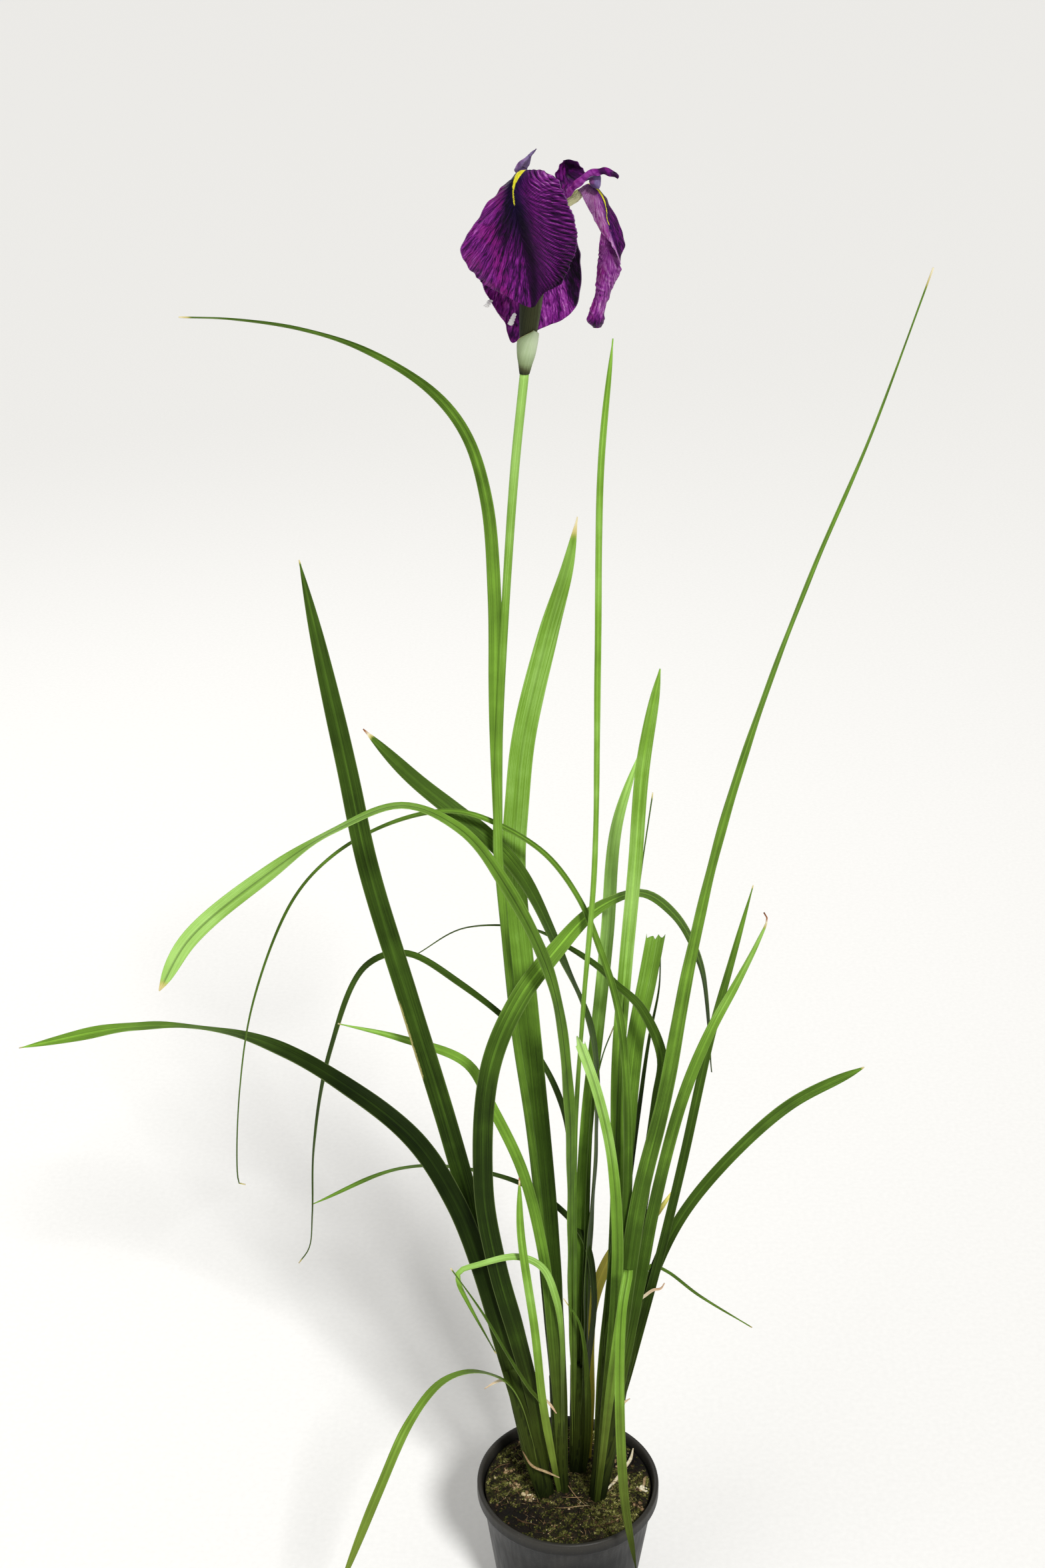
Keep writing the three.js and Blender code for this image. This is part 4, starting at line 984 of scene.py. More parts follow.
RIGHT_FALL_END = [
    [(9.5, 927, -5.4), (11.5, 927.5, -5.9), (13.5, 927, -3), (15, 926, 0), (17, 924.5, 1.6)],
    [(8.5, 922, -3), (10.5, 921.5, -3.5), (13, 920.5, -2.5), (15.5, 919, 0), (18, 916.5, 3)],
    [(8, 915, 1), (10.5, 914, -2), (13.5, 913, -2.2), (16.5, 911.5, 0), (19, 909, 3)],
    [(7.5, 907.5, 3), (10, 907, -2), (13, 906, -3), (16.5, 905.5, -1), (19, 905, 3)],
    [(7, 899.5, 3), (9, 899, -2), (11.5, 899, -3), (14, 899, -1), (16, 899, 3)],
    [(6, 892, 4), (8, 891.5, 0), (9.5, 891.5, -1), (12, 891.5, 1), (13.5, 892.5, 4)],
    [(3.5, 885.5, 5), (5.5, 886, 1), (7.5, 886, 0), (9.5, 886, 2), (11.5, 886, 5)],
    [(3, 881, 6), (5, 880.5, 2), (7, 880.5, 1), (9.5, 881, 3), (11.5, 882, 6)],
    [(5, 878.5, 8), (6, 877.5, 5), (7.5, 877.5, 4), (8.5, 877.5, 5), (9.5, 878, 8)],
]
BACK_FALL = [
    [(-25.5, 933.5, 5), (-24.5, 933.5, 5.6), (-23, 934, 6),
     (-21.5, 933.5, 5.6), (-20.5, 933.5, 5)],
    [(-29, 946, 11), (-27, 948, 12), (-25, 949.5, 12.5), (-23, 948, 12), (-21, 946, 11)],
    [(-32, 948, 17), (-29.5, 950, 19), (-26, 951.5, 20), (-22.5, 950, 19), (-19, 948, 17)],
    [(-38.5, 938, 22), (-33, 941.5, 25), (-25.5, 942.5, 26),
     (-17.5, 941.5, 25), (-10.5, 938, 22)],
    [(-44.5, 926.5, 25), (-36.5, 928.5, 29), (-25.5, 930, 30),
     (-14, 928.5, 29), (-4.5, 926.5, 25)],
    [(-48.5, 915, 26), (-39, 915, 31), (-26, 916, 31), (-12, 916, 30), (-1.5, 916, 25)],
    [(-50, 905, 26), (-40.5, 903.5, 31), (-27, 903.5, 30), (-12, 904.5, 29), (-0.5, 905, 25)],
    [(-49.5, 898, 26), (-40.5, 894.5, 30), (-28.5, 892.5, 29), (-13.5, 893.5, 28), (-1, 896, 25)],
    [(-44, 887.5, 26), (-37.5, 883.5, 28), (-29.5, 881.5, 28), (-16, 884, 27), (-3, 888, 26)],
    [(-39, 882.5, 26), (-36, 870.5, 27), (-30.5, 872, 27), (-20, 877.5, 27), (-10, 881.5, 27)],
]
BACK_STANDARD = [
    [(-20, 933, 3.2), (-19, 933.5, 4.4), (-17.5, 933.5, 5.6)],
    [(-10.5, 944, 8), (-9, 944.5, 9), (-7, 945.5, 8)],
    [(-13, 950, 9), (-8, 950.5, 11), (-2, 950, 9)],
    [(-14, 953, 9), (-7, 954, 12), (1, 954, 9)],
    [(-13, 955.5, 9), (-7, 956.5, 12), (0, 956, 9)],
    [(-11.5, 958.5, 9), (-7, 959, 11), (-1.5, 958, 9)],
    [(-10, 960.5, 9), (-7, 961, 10), (-3, 960, 9)],
]
RIGHT_STANDARD = [
    [(-19, 931.5, -4.6), (-18, 932, -4.2), (-17.5, 932, -3.6)],
    [(-13, 939.5, -6.8), (-12, 939.5, -6.2), (-11.5, 939, -5.5)],
    [(-10, 944, -6), (-9, 943, -7), (-8, 941.5, -6)],
    [(-6.5, 948, -8), (-5.5, 947, -9), (-4.5, 945.5, -8)],
    [(-2.5, 952, -9), (-1.5, 950.5, -10), (-0.5, 949.5, -9)],
    [(2.5, 955.5, -10), (3, 954, -11), (3.5, 952.5, -10)],
    [(6.5, 956.5, -11), (6.5, 955, -12), (7, 953.5, -11)],
    [(11, 957, -12), (11.5, 955, -13), (12, 953.5, -12)],
    [(15, 955.5, -13), (15, 954, -14), (15, 952.5, -13)],
    [(17.5, 953.5, -14), (17.5, 952.5, -14), (17, 951.5, -14)],
]
LEFT_STANDARD = [
    [(-28, 933, 0.4), (-27.5, 933.5, 1.6), (-27, 933.5, 2.8)],
    [(-31, 941, 1), (-30, 943, 4), (-29, 942.5, 7)],
    [(-33.5, 947.5, 2.5), (-32, 949, 6), (-31, 948.5, 9)],
    [(-34, 950.5, 4), (-33, 952.5, 7), (-32, 951.5, 9.5)],
]
FRONT_CREST = [
    [(-23.5, 938, -1), (-22, 937, -1), (-20.5, 938, -1)],
    [(-27, 949.5, -6), (-25, 950.5, -6), (-23, 949.5, -6)],
    [(-33.5, 955, -10), (-30.5, 955.5, -12), (-27.5, 955.5, -11)],
    [(-33.5, 957, -11), (-30.5, 958, -13.5), (-26.5, 958.5, -12)],
    [(-32, 959.5, -12), (-29, 960, -14.5), (-26, 961, -13)],
    [(-29, 961.5, -13), (-27, 962, -15), (-25.5, 963, -14)],
    [(-26, 964, -14), (-25, 964.5, -15), (-24, 964.5, -15)],
    [(-23.5, 966, -15), (-23, 966, -15), (-23, 966, -15)],
]
RIGHT_CREST = [
    [(-20.5, 938, -1.2), (-20.5, 937.5, 0), (-20.5, 938, 1.2)],
    [(-7, 944.5, -3), (-6.5, 945, -3), (-5.5, 945.5, -2)],
    [(-2, 948.5, -4), (-1, 949.5, -4), (-0.5, 950.5, -3)],
    [(2.5, 951, -6), (4, 952.5, -7), (6, 954, -6)],
    [(3, 950, -7), (6, 951.5, -9), (8.5, 953, -8)],
    [(3.5, 949, -8), (6, 949.5, -10), (8.5, 949, -8)],
    [(5, 947.5, -8), (6.5, 947, -9), (7.5, 946.5, -8)],
]
BACK_CREST = [
    [(-23.5, 938, 1), (-22, 937.5, 1), (-20.5, 938, 1)],
    [(-27, 946, 9), (-24, 947, 9), (-21, 946, 9)],
    [(-30, 950, 16), (-26, 951.5, 16), (-22, 950, 16)],
    [(-29, 949.5, 20), (-27, 951, 22), (-25, 949.5, 20)],
]

# %% A sheet through a net
CROWDED = 0.2
MIDDLE_STEPS = 400


def shares_of(count, places):
    """How much each of count points in a row gives to the smooth curve (a Catmull-Rom
    cubic) at these places. Beyond its ends the row carries on straight."""
    first = np.clip(places.astype(int), 0, count - 2)
    s = places - first
    weights = 0.5 * np.stack([-s + 2 * s**2 - s**3, 2 - 5 * s**2 + 3 * s**3,
                              s + 4 * s**2 - 3 * s**3, -s**2 + s**3], -1)
    table = np.zeros((len(places), count + 2))
    table[np.arange(len(places))[:, None], first[:, None] + np.arange(4)] = weights
    table[:, 1] += 2 * table[:, 0]
    table[:, 2] -= table[:, 0]
    table[:, -2] += 2 * table[:, -1]
    table[:, -3] -= table[:, -1]
    return table[:, 1:-1]


def laid_out(net, rows, columns):
    """The sheet through a net: rows evenly spaced along its middle line, and columns
    that crowd a little towards both margins. Also gives the shares along and across."""
    real = np.stack(place_seen(np.moveaxis(np.array(net, float), -1, 0)), -1)
    steps, lines = real.shape[:2]
    coarse = np.linspace(0, steps - 1, MIDDLE_STEPS)
    length = line_length(shares_of(steps, coarse) @ real[:, lines // 2])
    t = np.linspace(0, 1, rows)
    down = shares_of(steps, np.interp(t * length[-1], length, coarse))
    u = np.linspace(-1, 1, columns)
    u = (1 - CROWDED) * u + CROWDED * np.sin(np.pi * u / 2)
    cross = shares_of(lines, (u + 1) / 2 * (lines - 1))
    return np.einsum("ri,ijk,cj->rck", down, real, cross), t, u


# %% Veins
PETAL_FOOT, PETAL_MARGIN = 0.55, 0.28
FAN_REACH = 28.0
FEATHER_NUMBER, FEATHER_START = 1.6, 60
REAR_LIGHTER = 0.1


def from_middle(sheet):
    """How far each point lies from the petal's midline."""
    middle = sheet[:, sheet.shape[1] // 2]
    return np.linalg.norm(sheet - middle[:, None], axis=-1)


def vein_notes(sheet, u, start, feather):
    """A number that is the same all along one vein, in millimetres, and the distance
    from the vein's start. The veins fan from one place, so the number is FAN_REACH
    times the fan's angle. If the right half is feathered, its veins leave the midline
    one by one instead, each at its own height q: height = q + a * (1 - e ** (-x / b))
    + (c + d * q) * x, measured downwards, and this is solved for q."""
    offset = sheet - start
    vein = FAN_REACH * np.arctan2(offset[..., 0], np.maximum(3.0 - offset[..., 2], 0.2))
    reach = np.linalg.norm(offset, axis=-1)
    if feather:
        a, b, c, d = feather
        x = from_middle(sheet)
        left_at = -offset[..., 2] - a * (1 - np.exp(-x / b)) - c * x
        left_at = left_at / (1 + d * x * (left_at > 0))
        vein = np.where(u > 0, FEATHER_NUMBER * left_at + FEATHER_START, vein)
        reach = np.where(u > 0, x + 4, reach)
    return vein, reach


# %% A petal
WARP_WAVES, FOLD_WAVES, SWELL_WAVES = (9, 0.15, 0.45), (9, 0.3, 0.9), (12, 0.4, 1.1)
FINE_PLEAT, BROAD_PLEAT, FEATHER_PLEAT = 2.1, 3.7, 1.6
SWELLING = 0.12
SMOOTH_FOOT = (0.04, 0.14)
STRIPE_TAIL = 0.25


def petal(net, rows, columns, seed, tone, signal=None, foot=0.0, ruffle=0.0, waves=9.0,
          pleat=0.12, feather=None, stripe=1.9, wrinkle=0.0, bluish=5.5, rear=None):
    """A thin closed body round a sheet. Along the sheet's outward direction it is lifted
    by ruffle * |u| ** 4 * sin(2 * pi * waves * t) at the margins, by pleat * sines of the
    vein number, by wrinkle * uneven folds, and by a low swelling. The signal runs from
    one share of the length to another. Stripe is half its width and bluish the reach of
    the blue-violet round it, in millimetres. Rear is the tone of the rear face."""
    sheet, t, u = laid_out(net, rows, columns)
    out = unit(np.cross(np.gradient(sheet, axis=0), np.gradient(sheet, axis=1)) + 1e-9)
    t, u = t[:, None], np.broadcast_to(u, sheet.shape[:2])
    x, z = sheet[..., 0], sheet[..., 2]
    begin, end = signal or (0.2, 0.6)
    start = sheet[int(rows * begin), columns // 2]
    vein, reach = vein_notes(sheet, u, start, feather)

    warp = ripples(seed, *WARP_WAVES)(x, z)
    pleats = (np.sin(2 * np.pi * vein / FINE_PLEAT + 1.3 * warp)
              + 0.7 * np.sin(2 * np.pi * vein / BROAD_PLEAT - 1.5 * warp + 1))
    strong = 1 + FEATHER_PLEAT * step_up(u, 0.1, 0.6) if feather else 1
    pleats = strong * step_up(reach, 5, 14) * pleats
    folds = np.sin(1.3 * x + 1.7 * z + 3 * warp) * ripples(seed + 2, *FOLD_WAVES)(x, z)
    swelling = step_up(reach, 4, 14) * ripples(seed + 1, *SWELL_WAVES)(x, z)
    margin = np.abs(u) ** 4 * np.sin(2 * np.pi * waves * t + 2 * np.sign(u) + 2 * warp)
    lift = pleat * pleats + SWELLING * swelling + wrinkle * folds + ruffle * margin
    lift = lift * step_up(t, *SMOOTH_FOOT)
    thick = (PETAL_FOOT + (PETAL_MARGIN - PETAL_FOOT) * np.maximum(t, np.abs(u))) / 2

    marked, blue = 0 * u, 0 * u
    if signal:
        mm = from_middle(sheet)
        narrow = stripe * (1 - step_up(t, begin, begin + 0.75 * (end - begin))) + STRIPE_TAIL
        marked = step_up(narrow - mm, -0.8, 0.8) * (1 - step_up(t, end - 0.03, end))
        near = np.exp(-(mm / bluish) ** 2) * (1 - step_up(t, end - 0.05, end + 0.22))
        blue = near * step_up(t, begin - 0.1, begin)
    pale = 1 - step_up(t, foot - 0.08, foot + 0.02) if foot else 0 * t
    tone = (tone(u, t) if callable(tone) else tone) + 0 * u
    rear = tone + REAR_LIGHTER if rear is None else rear
    # Painted shade and light: the tone is lower in the hollows of pleats and folds and higher on
    # their ridges.
    painted_pleat_light_and_shade = 0.6 * pleat * pleats + 0.3 * wrinkle * folds
    return shell(ring_of(sheet + out * (lift + thick)[..., None],
                         sheet + out * (lift - thick)[..., None]),
                 grain=(both(vein), both(reach), float(seed)),
                 share=(both(u), t, ring_of(tone + painted_pleat_light_and_shade, rear + painted_pleat_light_and_shade)),
                 mark=(ring_of(marked, 0 * u), ring_of(blue, 0 * u), pale))


# %% The tones of the petals
def front_tone_with_painted_light(u, t):
    """Brighter on the left half, where painted light falls, with a painted sheen on the right
    shoulder; dusky round the signal, with a painted shadow along the fold and painted shade
    at the lower right."""
    fold = np.exp(-((u - 0.08) / 0.09) ** 2) * step_up(t, 0.42, 0.62)
    dusk = np.exp(-((u + 0.18) / 0.27) ** 2) * step_up(t, 0.3, 0.42) * step_up(-t, -0.78, -0.55)
    early = step_up(-u, 0.2, 0.5) * step_up(-t, -0.52, -0.36)
    shoulder = np.exp(-((u - 0.7) / 0.4) ** 2) * step_up(-t, -0.6, -0.35)
    return (0.49 + 0.1 * step_up(-u, 0.2, 0.8) - 0.28 * fold - 0.28 * dusk - 0.22 * early
            + 0.14 * shoulder - 0.02 * step_up(u, 0.1, 0.3)
            - 0.16 * step_up(u, 0.2, 0.9) * step_up(t, 0.7, 0.95))


def end_tone(u, t):
    """Bright lilac, with a dusky curled tip."""
    return 0.74 - 0.3 * step_up(t, 0.78, 0.95)


def right_tone(u, t):
    """Lilac grey on the left, darker to the right."""
    return 0.9 - 0.46 * step_up(u, -0.5, 0.3)


def back_tone_with_painted_shadow(u, t):
    """Violet on the left and a dusty lilac on the right, with a painted shadow of the front
    fall over the right edge.
    """
    return 0.58 + 0.05 * step_up(u, -0.1, 0.3) - 0.38 * step_up(u - 2 * t, -0.89, -0.79)


def strap_tone(u, t):
    """Lilac near the foot and darker towards the tip."""
    return 0.72 - 0.24 * step_up(t, 0.45, 0.8)


# %% The petals and the style crests
SMALL_TONE = 0.4
PETALS = {
    "front_fall": ("fall_front", [
        petal(FRONT_FALL, 150, 161, 101, front_tone_with_painted_light, signal=(0.26, 0.53), foot=0.18, ruffle=0.5,
              waves=7, pleat=0.11, feather=(9, 8, 0.25, 0.022), stripe=2.5)]),
    "right_fall": ("fall_right", [
        petal(RIGHT_FALL, 120, 61, 102, right_tone, signal=(0.42, 0.74), foot=0.33, ruffle=0.4,
              waves=6, pleat=0.05, stripe=0.5, bluish=2.2),
        petal(RIGHT_FALL_END, 110, 61, 103, end_tone, ruffle=0.25, waves=5, pleat=0.07,
              wrinkle=0.12)]),
    "back_fall": ("fall_back", [
        petal(BACK_FALL, 120, 121, 104, back_tone_with_painted_shadow, foot=0.16, ruffle=0.6, waves=6, pleat=0.1,
              rear=0.5)]),
    "back_standard": ("standard_back", [
        petal(BACK_STANDARD, 60, 41, 111, SMALL_TONE, ruffle=0.5, waves=7)]),
    "right_standard": ("standard_right", [
        petal(RIGHT_STANDARD, 90, 31, 112, strap_tone, ruffle=0.5, waves=6, pleat=0.14)]),
    "left_standard": ("standard_left", [
        petal(LEFT_STANDARD, 50, 31, 113, SMALL_TONE, ruffle=0.5, waves=4, pleat=0.08)]),
}
for name, (node, sheets) in PETALS.items():
    make_piece(name, sheets, petal_violet, node)

crests = [petal(FRONT_CREST, 70, 31, 121, 0.5, pleat=0.03),
          petal(RIGHT_CREST, 60, 31, 122, 0.62, pleat=0.03),
          petal(BACK_CREST, 50, 31, 123, 0.5, pleat=0.03)]
make_piece("style_crests", crests, crest_lilac, "style_arms")

# %% [markdown]
# ## The tube and its bracts
#
# Under the petals the flower narrows to a tube over the ovary. Two pale bracts clasp it,
# and each is a small leaf bent round the stem. A bract is worked out in turned
# coordinates: one direction climbs along the tube and the other goes round it. It gets
# the fine lines of a leaf in paler greens.

# %% The tube
STEM_TOP = np.array([-29.0, 0.0, 854.0])
TUBE_TOP = np.array([-22.0, 0.0, 932.0])
TUBE_STATIONS = [(0, 2.4), (0.12, 2.3), (0.3, 3), (0.5, 2.6), (0.7, 2.2), (0.86, 2.8),
                 (0.94, 4.4), (1, 7)]
TUBE_WIDTH = 1.8
tube_axis = TUBE_TOP - STEM_TOP
tube_line = [(*(STEM_TOP + tube_axis * share), TUBE_WIDTH * radius, TUBE_WIDTH * radius)
             for share, radius in TUBE_STATIONS]
tube = rod(tube_line, sides=32, rows=60, seed=131, tone=[0.45, 0.5, 0.7, 0.95], flutes=0.05)
make_piece("throat_tube", [tube], bract_green, "flower_tube")

# %% The bracts
BRACT_ROWS, BRACT_COLUMNS = 90, 61
BRACT_WRAP = 165
BRACT_POINT = 3.2
BRACT_VEIN = 0.05
BRACT_LIT = 0.3
BRACT_DRY = 0.5


def bract(begin, end, heading, radii, seed, tone):
    """The place at (u, t) lies at angle heading + u * wrap * (1 - t ** point) round the
    tube, at a radius read from a list, and climbs from begin to end along the tube."""
    t = np.linspace(0, 1, BRACT_ROWS)[:, None]
    u = np.linspace(-1, 1, BRACT_COLUMNS)[None]
    angle = np.radians(heading + u * BRACT_WRAP * np.maximum(0.02, 1 - t**BRACT_POINT))
    radius = flowing(radii, t)
    round_it = np.stack(np.broadcast_arrays(np.cos(angle), np.sin(angle), 0), -1)
    centre = STEM_TOP + tube_axis * (begin + (end - begin) * t)[..., None]
    arc = radius * u * np.radians(BRACT_WRAP)
    middle = radius + BRACT_VEIN * np.sin(arc * 9) * step_up(t, 0, 0.1)
    thick = 0.28 - 0.13 * np.abs(u) ** 3
    mm = np.linalg.norm(tube_axis) * (end - begin) * t
    tones = straight(tone, t) + BRACT_LIT * np.clip(u, -1, 0.3)
    dry = BRACT_DRY * step_up(np.abs(u), 0.9, 1) * step_up(t, 0.2, 0.5)
    return shell(ring_of(centre + round_it * (middle + thick)[..., None],
                         centre + round_it * (middle - thick)[..., None]),
                 grain=(both(arc), mm, float(seed)),
                 share=(both(0.8 * u + 0 * t), t, both(tones)),
                 mark=(both(dry), 0.0, 0.0))


# Painted shade: the inner bract is kept dark, as it lies in the shade of the bloom.
inner_bract = bract(0.02, 0.74, -70, [2.1, 3.4, 4.5, 5.4, 5.9, 5.9], 132, [0.22])
make_piece("inner_bract", [inner_bract], bract_green, "spathe_inner")
# Painted shade: the outer bract is dark green at its foot and pale above.
outer_bract = bract(0.0, 0.3, -62, [2.4, 3.3, 4.4, 5.0, 5.3, 5.5], 133,
                    [0.1, 0.6, 0.82, 0.9, 0.9])
make_piece("outer_bract", [outer_bract], bract_green, "spathe_outer")

# %% The dried leaf
DRIED_LEAF = dict(width=8.2, taper=7, turn=[0], tone=[0.4, 0.65, 0.8, 0.95],
                  tip=6, burn=1.0, rib=0.3,
                  route=[(13, 119, 23), (13, 171, 24), (12, 226, 25), (14, 255, 24),
                         (28, 298, 20), (52, 324, 14), (65, 347, 18)])
make_piece("dried_leaf", [blade(DRIED_LEAF, 90)], golden_leaf, "dead_leaf")

# %% [markdown]
# ## The pot
#
# The pot is a thin black nursery pot. It is turned like a bowl: one profile of radius and
# height goes up the outside, over the rolled rim and down the inside. Its six drain
# holes are cut with a Boolean, which is applied at once.

# %% Black plastic
DUST, WORN = shade("5a564d"), shade("2b2b2b")


def plastic_finish():
    r = Recipe("black_plastic", specular=0.25)
    place = r.place()
    clouds = r.noise(place, 45.0)
    specks = r.noise(place, 900.0, detail=2.0)
    stretched = r.add("VectorMath", {0: place, 1: (60.0, 60.0, 4.0)}, operation="MULTIPLY")
    streaks = r.noise(stretched, 6.0)
    black = r.ramp(clouds, (0.3, "060708"), (0.7, "0b0c0d"))
    dust = r.rise(clouds, 0.5, 0.8, 0.12) + r.rise(specks, 0.62, 0.75, 0.2)
    rim = r.rise(r.split(place)[2], 0.1, 0.1095, 0.25)
    black = r.mix(dust + rim, black, DUST)
    black = r.mix(r.rise(streaks, 0.6, 0.72, 0.2), black, WORN)
    gloss = 0.48 + streaks.around(0.3)
    return r.finish(black, gloss, specks, strength=0.25, distance=0.0003)


black_plastic = plastic_finish()

# %% Turn the pot
POT_SIDES, DRILL_SIDES = 192, 32
DRAIN_HOLES, DRAIN_RADIUS, DRAIN_CIRCLE = 6, 4.5, 29.0
DRILL_FROM, DRILL_TO = -3.0, 6.0
POT_PROFILE = [(0.5, 0), (30, 0), (40, 0), (41.9, 0.1), (42.7, 0.5), (43, 1.3), (44.8, 14),
               (47.6, 34), (50.9, 58), (54.2, 82), (56.9, 100.2), (57.6, 101), (58.8, 101),
               (59.6, 101.2), (60, 101.9), (60, 103), (60, 108), (59.8, 109.2), (59.1, 109.9),
               (58.2, 110), (57.4, 109.8), (56.9, 109.2), (56.5, 107), (54, 92), (49, 56),
               (44.6, 25), (41.8, 5), (41.3, 3.2), (40.4, 2.6), (30, 2.6), (0.5, 2.6)]


def around_axis(profile, sides):
    """Rings of points: each (radius, height) of the profile is carried round the axis."""
    turn = 2 * np.pi * np.arange(sides) / sides
    radius, height = np.array(profile, float).T[:, :, None]
    return np.stack(np.broadcast_arrays(radius * np.cos(turn), radius * np.sin(turn),
                                        height), -1)


pot_body = shell(around_axis(POT_PROFILE, POT_SIDES), flat_ends=True)
pot = make_piece("pot_shell", [pot_body], black_plastic, "pot")

# %% Drill its holes
drill = around_axis([(DRAIN_RADIUS, DRILL_FROM), (DRAIN_RADIUS, DRILL_TO)], DRILL_SIDES)
turns = 2 * np.pi * np.arange(DRAIN_HOLES) / DRAIN_HOLES
places = DRAIN_CIRCLE * np.stack([np.cos(turns), np.sin(turns), 0 * turns], -1)
drills = [shell(drill + place, flat_ends=True) for place in places]
cutter = new_object("drills", joined_mesh("drills", drills))
holes = pot.modifiers.new("holes", "BOOLEAN")
holes.object, holes.operation, holes.solver = cutter, "DIFFERENCE", "EXACT"
view = bpy.context.evaluated_depsgraph_get()
drilled = bpy.data.meshes.new_from_object(pot.evaluated_get(view))
pot.modifiers.remove(holes)
pot.data = drilled
bpy.data.objects.remove(cutter)
print("pot with", DRAIN_HOLES, "drain holes has", len(drilled.polygons), "faces")

# %% [markdown]
# ## Soil and moss
#
# The soil is a low uneven crown, darkest where it is bare. Moss grows on it in soft
# cushions. One surface gives the crown and its lumps. Thousands of small closed points
# stand on it in tufts, densest where the ground is mossy, and the pale crumbs lie between.

# %% Finishes of the ground
def ground_finish(name, *colours, bump=0.8):
    r = Recipe(name, specular=0.2)
    place = r.place()
    tone = r.notes("share")[2]
    lumps = r.noise(place, 210.0, detail=4.0, roughness=0.65)
    grains = r.noise(place, 1500.0, roughness=0.7)
    colour = r.ramp(tone + lumps.around(0.7) + grains.around(0.5), *colours)
    gloss = 0.85 + grains.around(0.2)
    return r.finish(colour, gloss, lumps + grains * 0.5, strength=bump, distance=0.001)


bare_soil = ground_finish("bare_soil", (0.1, "070503"), (0.35, "17110a"), (0.55, "2b2414"),
                          (0.75, "3f3d1e"), (1.0, "6d6640"))
moss_green = ground_finish("moss_green", (0.0, "0b0d04"), (0.3, "22240c"), (0.55, "4a4c1b"),
                           (0.75, "7d7d38"), (1.0, "bdb878"), bump=0.3)
torn_white = ground_finish("torn_white", (0.0, "b9b2b4"), (0.6, "efecec"), (1.0, "fdfcfc"))
litter_straw = ground_finish("litter_straw", (0.0, "1a120b"), (0.3, "47331f"), (0.6, "8a7150"),
                             (0.8, "b9a77f"), (1.0, "e2dabf"), bump=0.3)

# %% The bed
SOIL_BOTTOM, SOIL_EDGE, SOIL_CROWN, SOIL_RELIEF = 2.9, 104.0, 107.0, 1.2
POT_MOUTH, POT_FLOOR = 58.2, 2.6
WALL_START, WALL_SLOPE = 40.8, 0.1382
SHOOT_FEET = [(-14, -11), (-3, -5), (7, 11), (18, -14)]
BED_RINGS, BED_SIDES = 90, 240
AXIS_GAP = 0.4
small_lumps = ripples(301, 16, 0.5, 1.5)
mossy = ripples(302, 8, 0.05, 0.16)
clumpy = ripples(303, 12, 0.5, 1.2)


def soil_height(x, y):
    """A crown that falls with the square of the radius, plus broad and small lumps that
    die out at the edge."""
    share = np.hypot(x, y) / POT_MOUTH
    lumps = (np.sin(0.31 * x + 1.3) * np.cos(0.27 * y - 0.4)
             + 0.6 * np.sin(0.53 * x - 0.47 * y))
    fade = 1 - share**6
    return (SOIL_EDGE + (SOIL_CROWN - SOIL_EDGE) * (1 - share**2)
            + (SOIL_RELIEF * lumps + 0.3 * small_lumps(x, y)) * fade)


def on_soil(x, y, lift):
    """Places at a height above the soil."""
    return np.stack([x, y, soil_height(x, y) + lift], -1)


bed_radius = WALL_START + WALL_SLOPE * (SOIL_EDGE - POT_FLOOR)
radii = [AXIS_GAP, *(bed_radius * k / BED_RINGS for k in range(1, BED_RINGS + 1))]
bed = around_axis([(radius, 0) for radius in radii], BED_SIDES)
bed[..., 2] = soil_height(bed[..., 0], bed[..., 1])
bed[-1, :, 2] = SOIL_EDGE
under = around_axis([(WALL_START, SOIL_BOTTOM), (AXIS_GAP, SOIL_BOTTOM)], BED_SIDES)
rings = np.concatenate([bed, under])
moist = 0.45 + 0.16 * mossy(rings[..., 0], rings[..., 1])
ground = shell(rings, share=(0.0, 0.0, moist), flat_ends=True)
make_piece("moss_bed", [ground], bare_soil, "soil")


# %% Small closed bodies
def small_bodies(points, corner_faces, tone):
    """Many copies of a small closed body. Points holds one body's corners in each row."""
    count, corners = points.shape[:2]
    faces = (corners * np.arange(count)[:, None, None] + corner_faces).reshape(-1, 3)
    points = points.reshape(-1, 3)
    share = np.zeros_like(points)
    share[:, 2] = np.broadcast_to(tone, (count, corners)).ravel()
    blank = np.zeros_like(points)
    return {"points": points, "faces": faces, "caps": [], "notes": [blank, share, blank]}


def spikes(root, tip, width, tone):
    """Slender closed points: three corners round the root and one, lighter, at the tip."""
    axis = unit(tip - root)
    side = unit(np.cross(axis, [0.31, 0.73, 0.61]))
    other = np.cross(axis, side)
    turn = 2 * np.pi * np.arange(3) / 3
    spread = side[:, None] * np.cos(turn)[:, None] + other[:, None] * np.sin(turn)[:, None]
    corners = root[:, None] + spread * width[:, None, None] / 2
    return small_bodies(np.concatenate([corners, tip[:, None]], axis=1),
                        [[0, 2, 1], [0, 1, 3], [1, 2, 3], [2, 0, 3]],
                        tone[:, None] + np.array([-0.2, -0.2, -0.2, 0.2]))


def scattered(dice, count, reach):
    """Random places on a disc, even by area."""
    radius = reach * np.sqrt(dice.uniform(size=count))
    turn = dice.uniform(0, 2 * np.pi, count)
    return radius * np.cos(turn), radius * np.sin(turn)


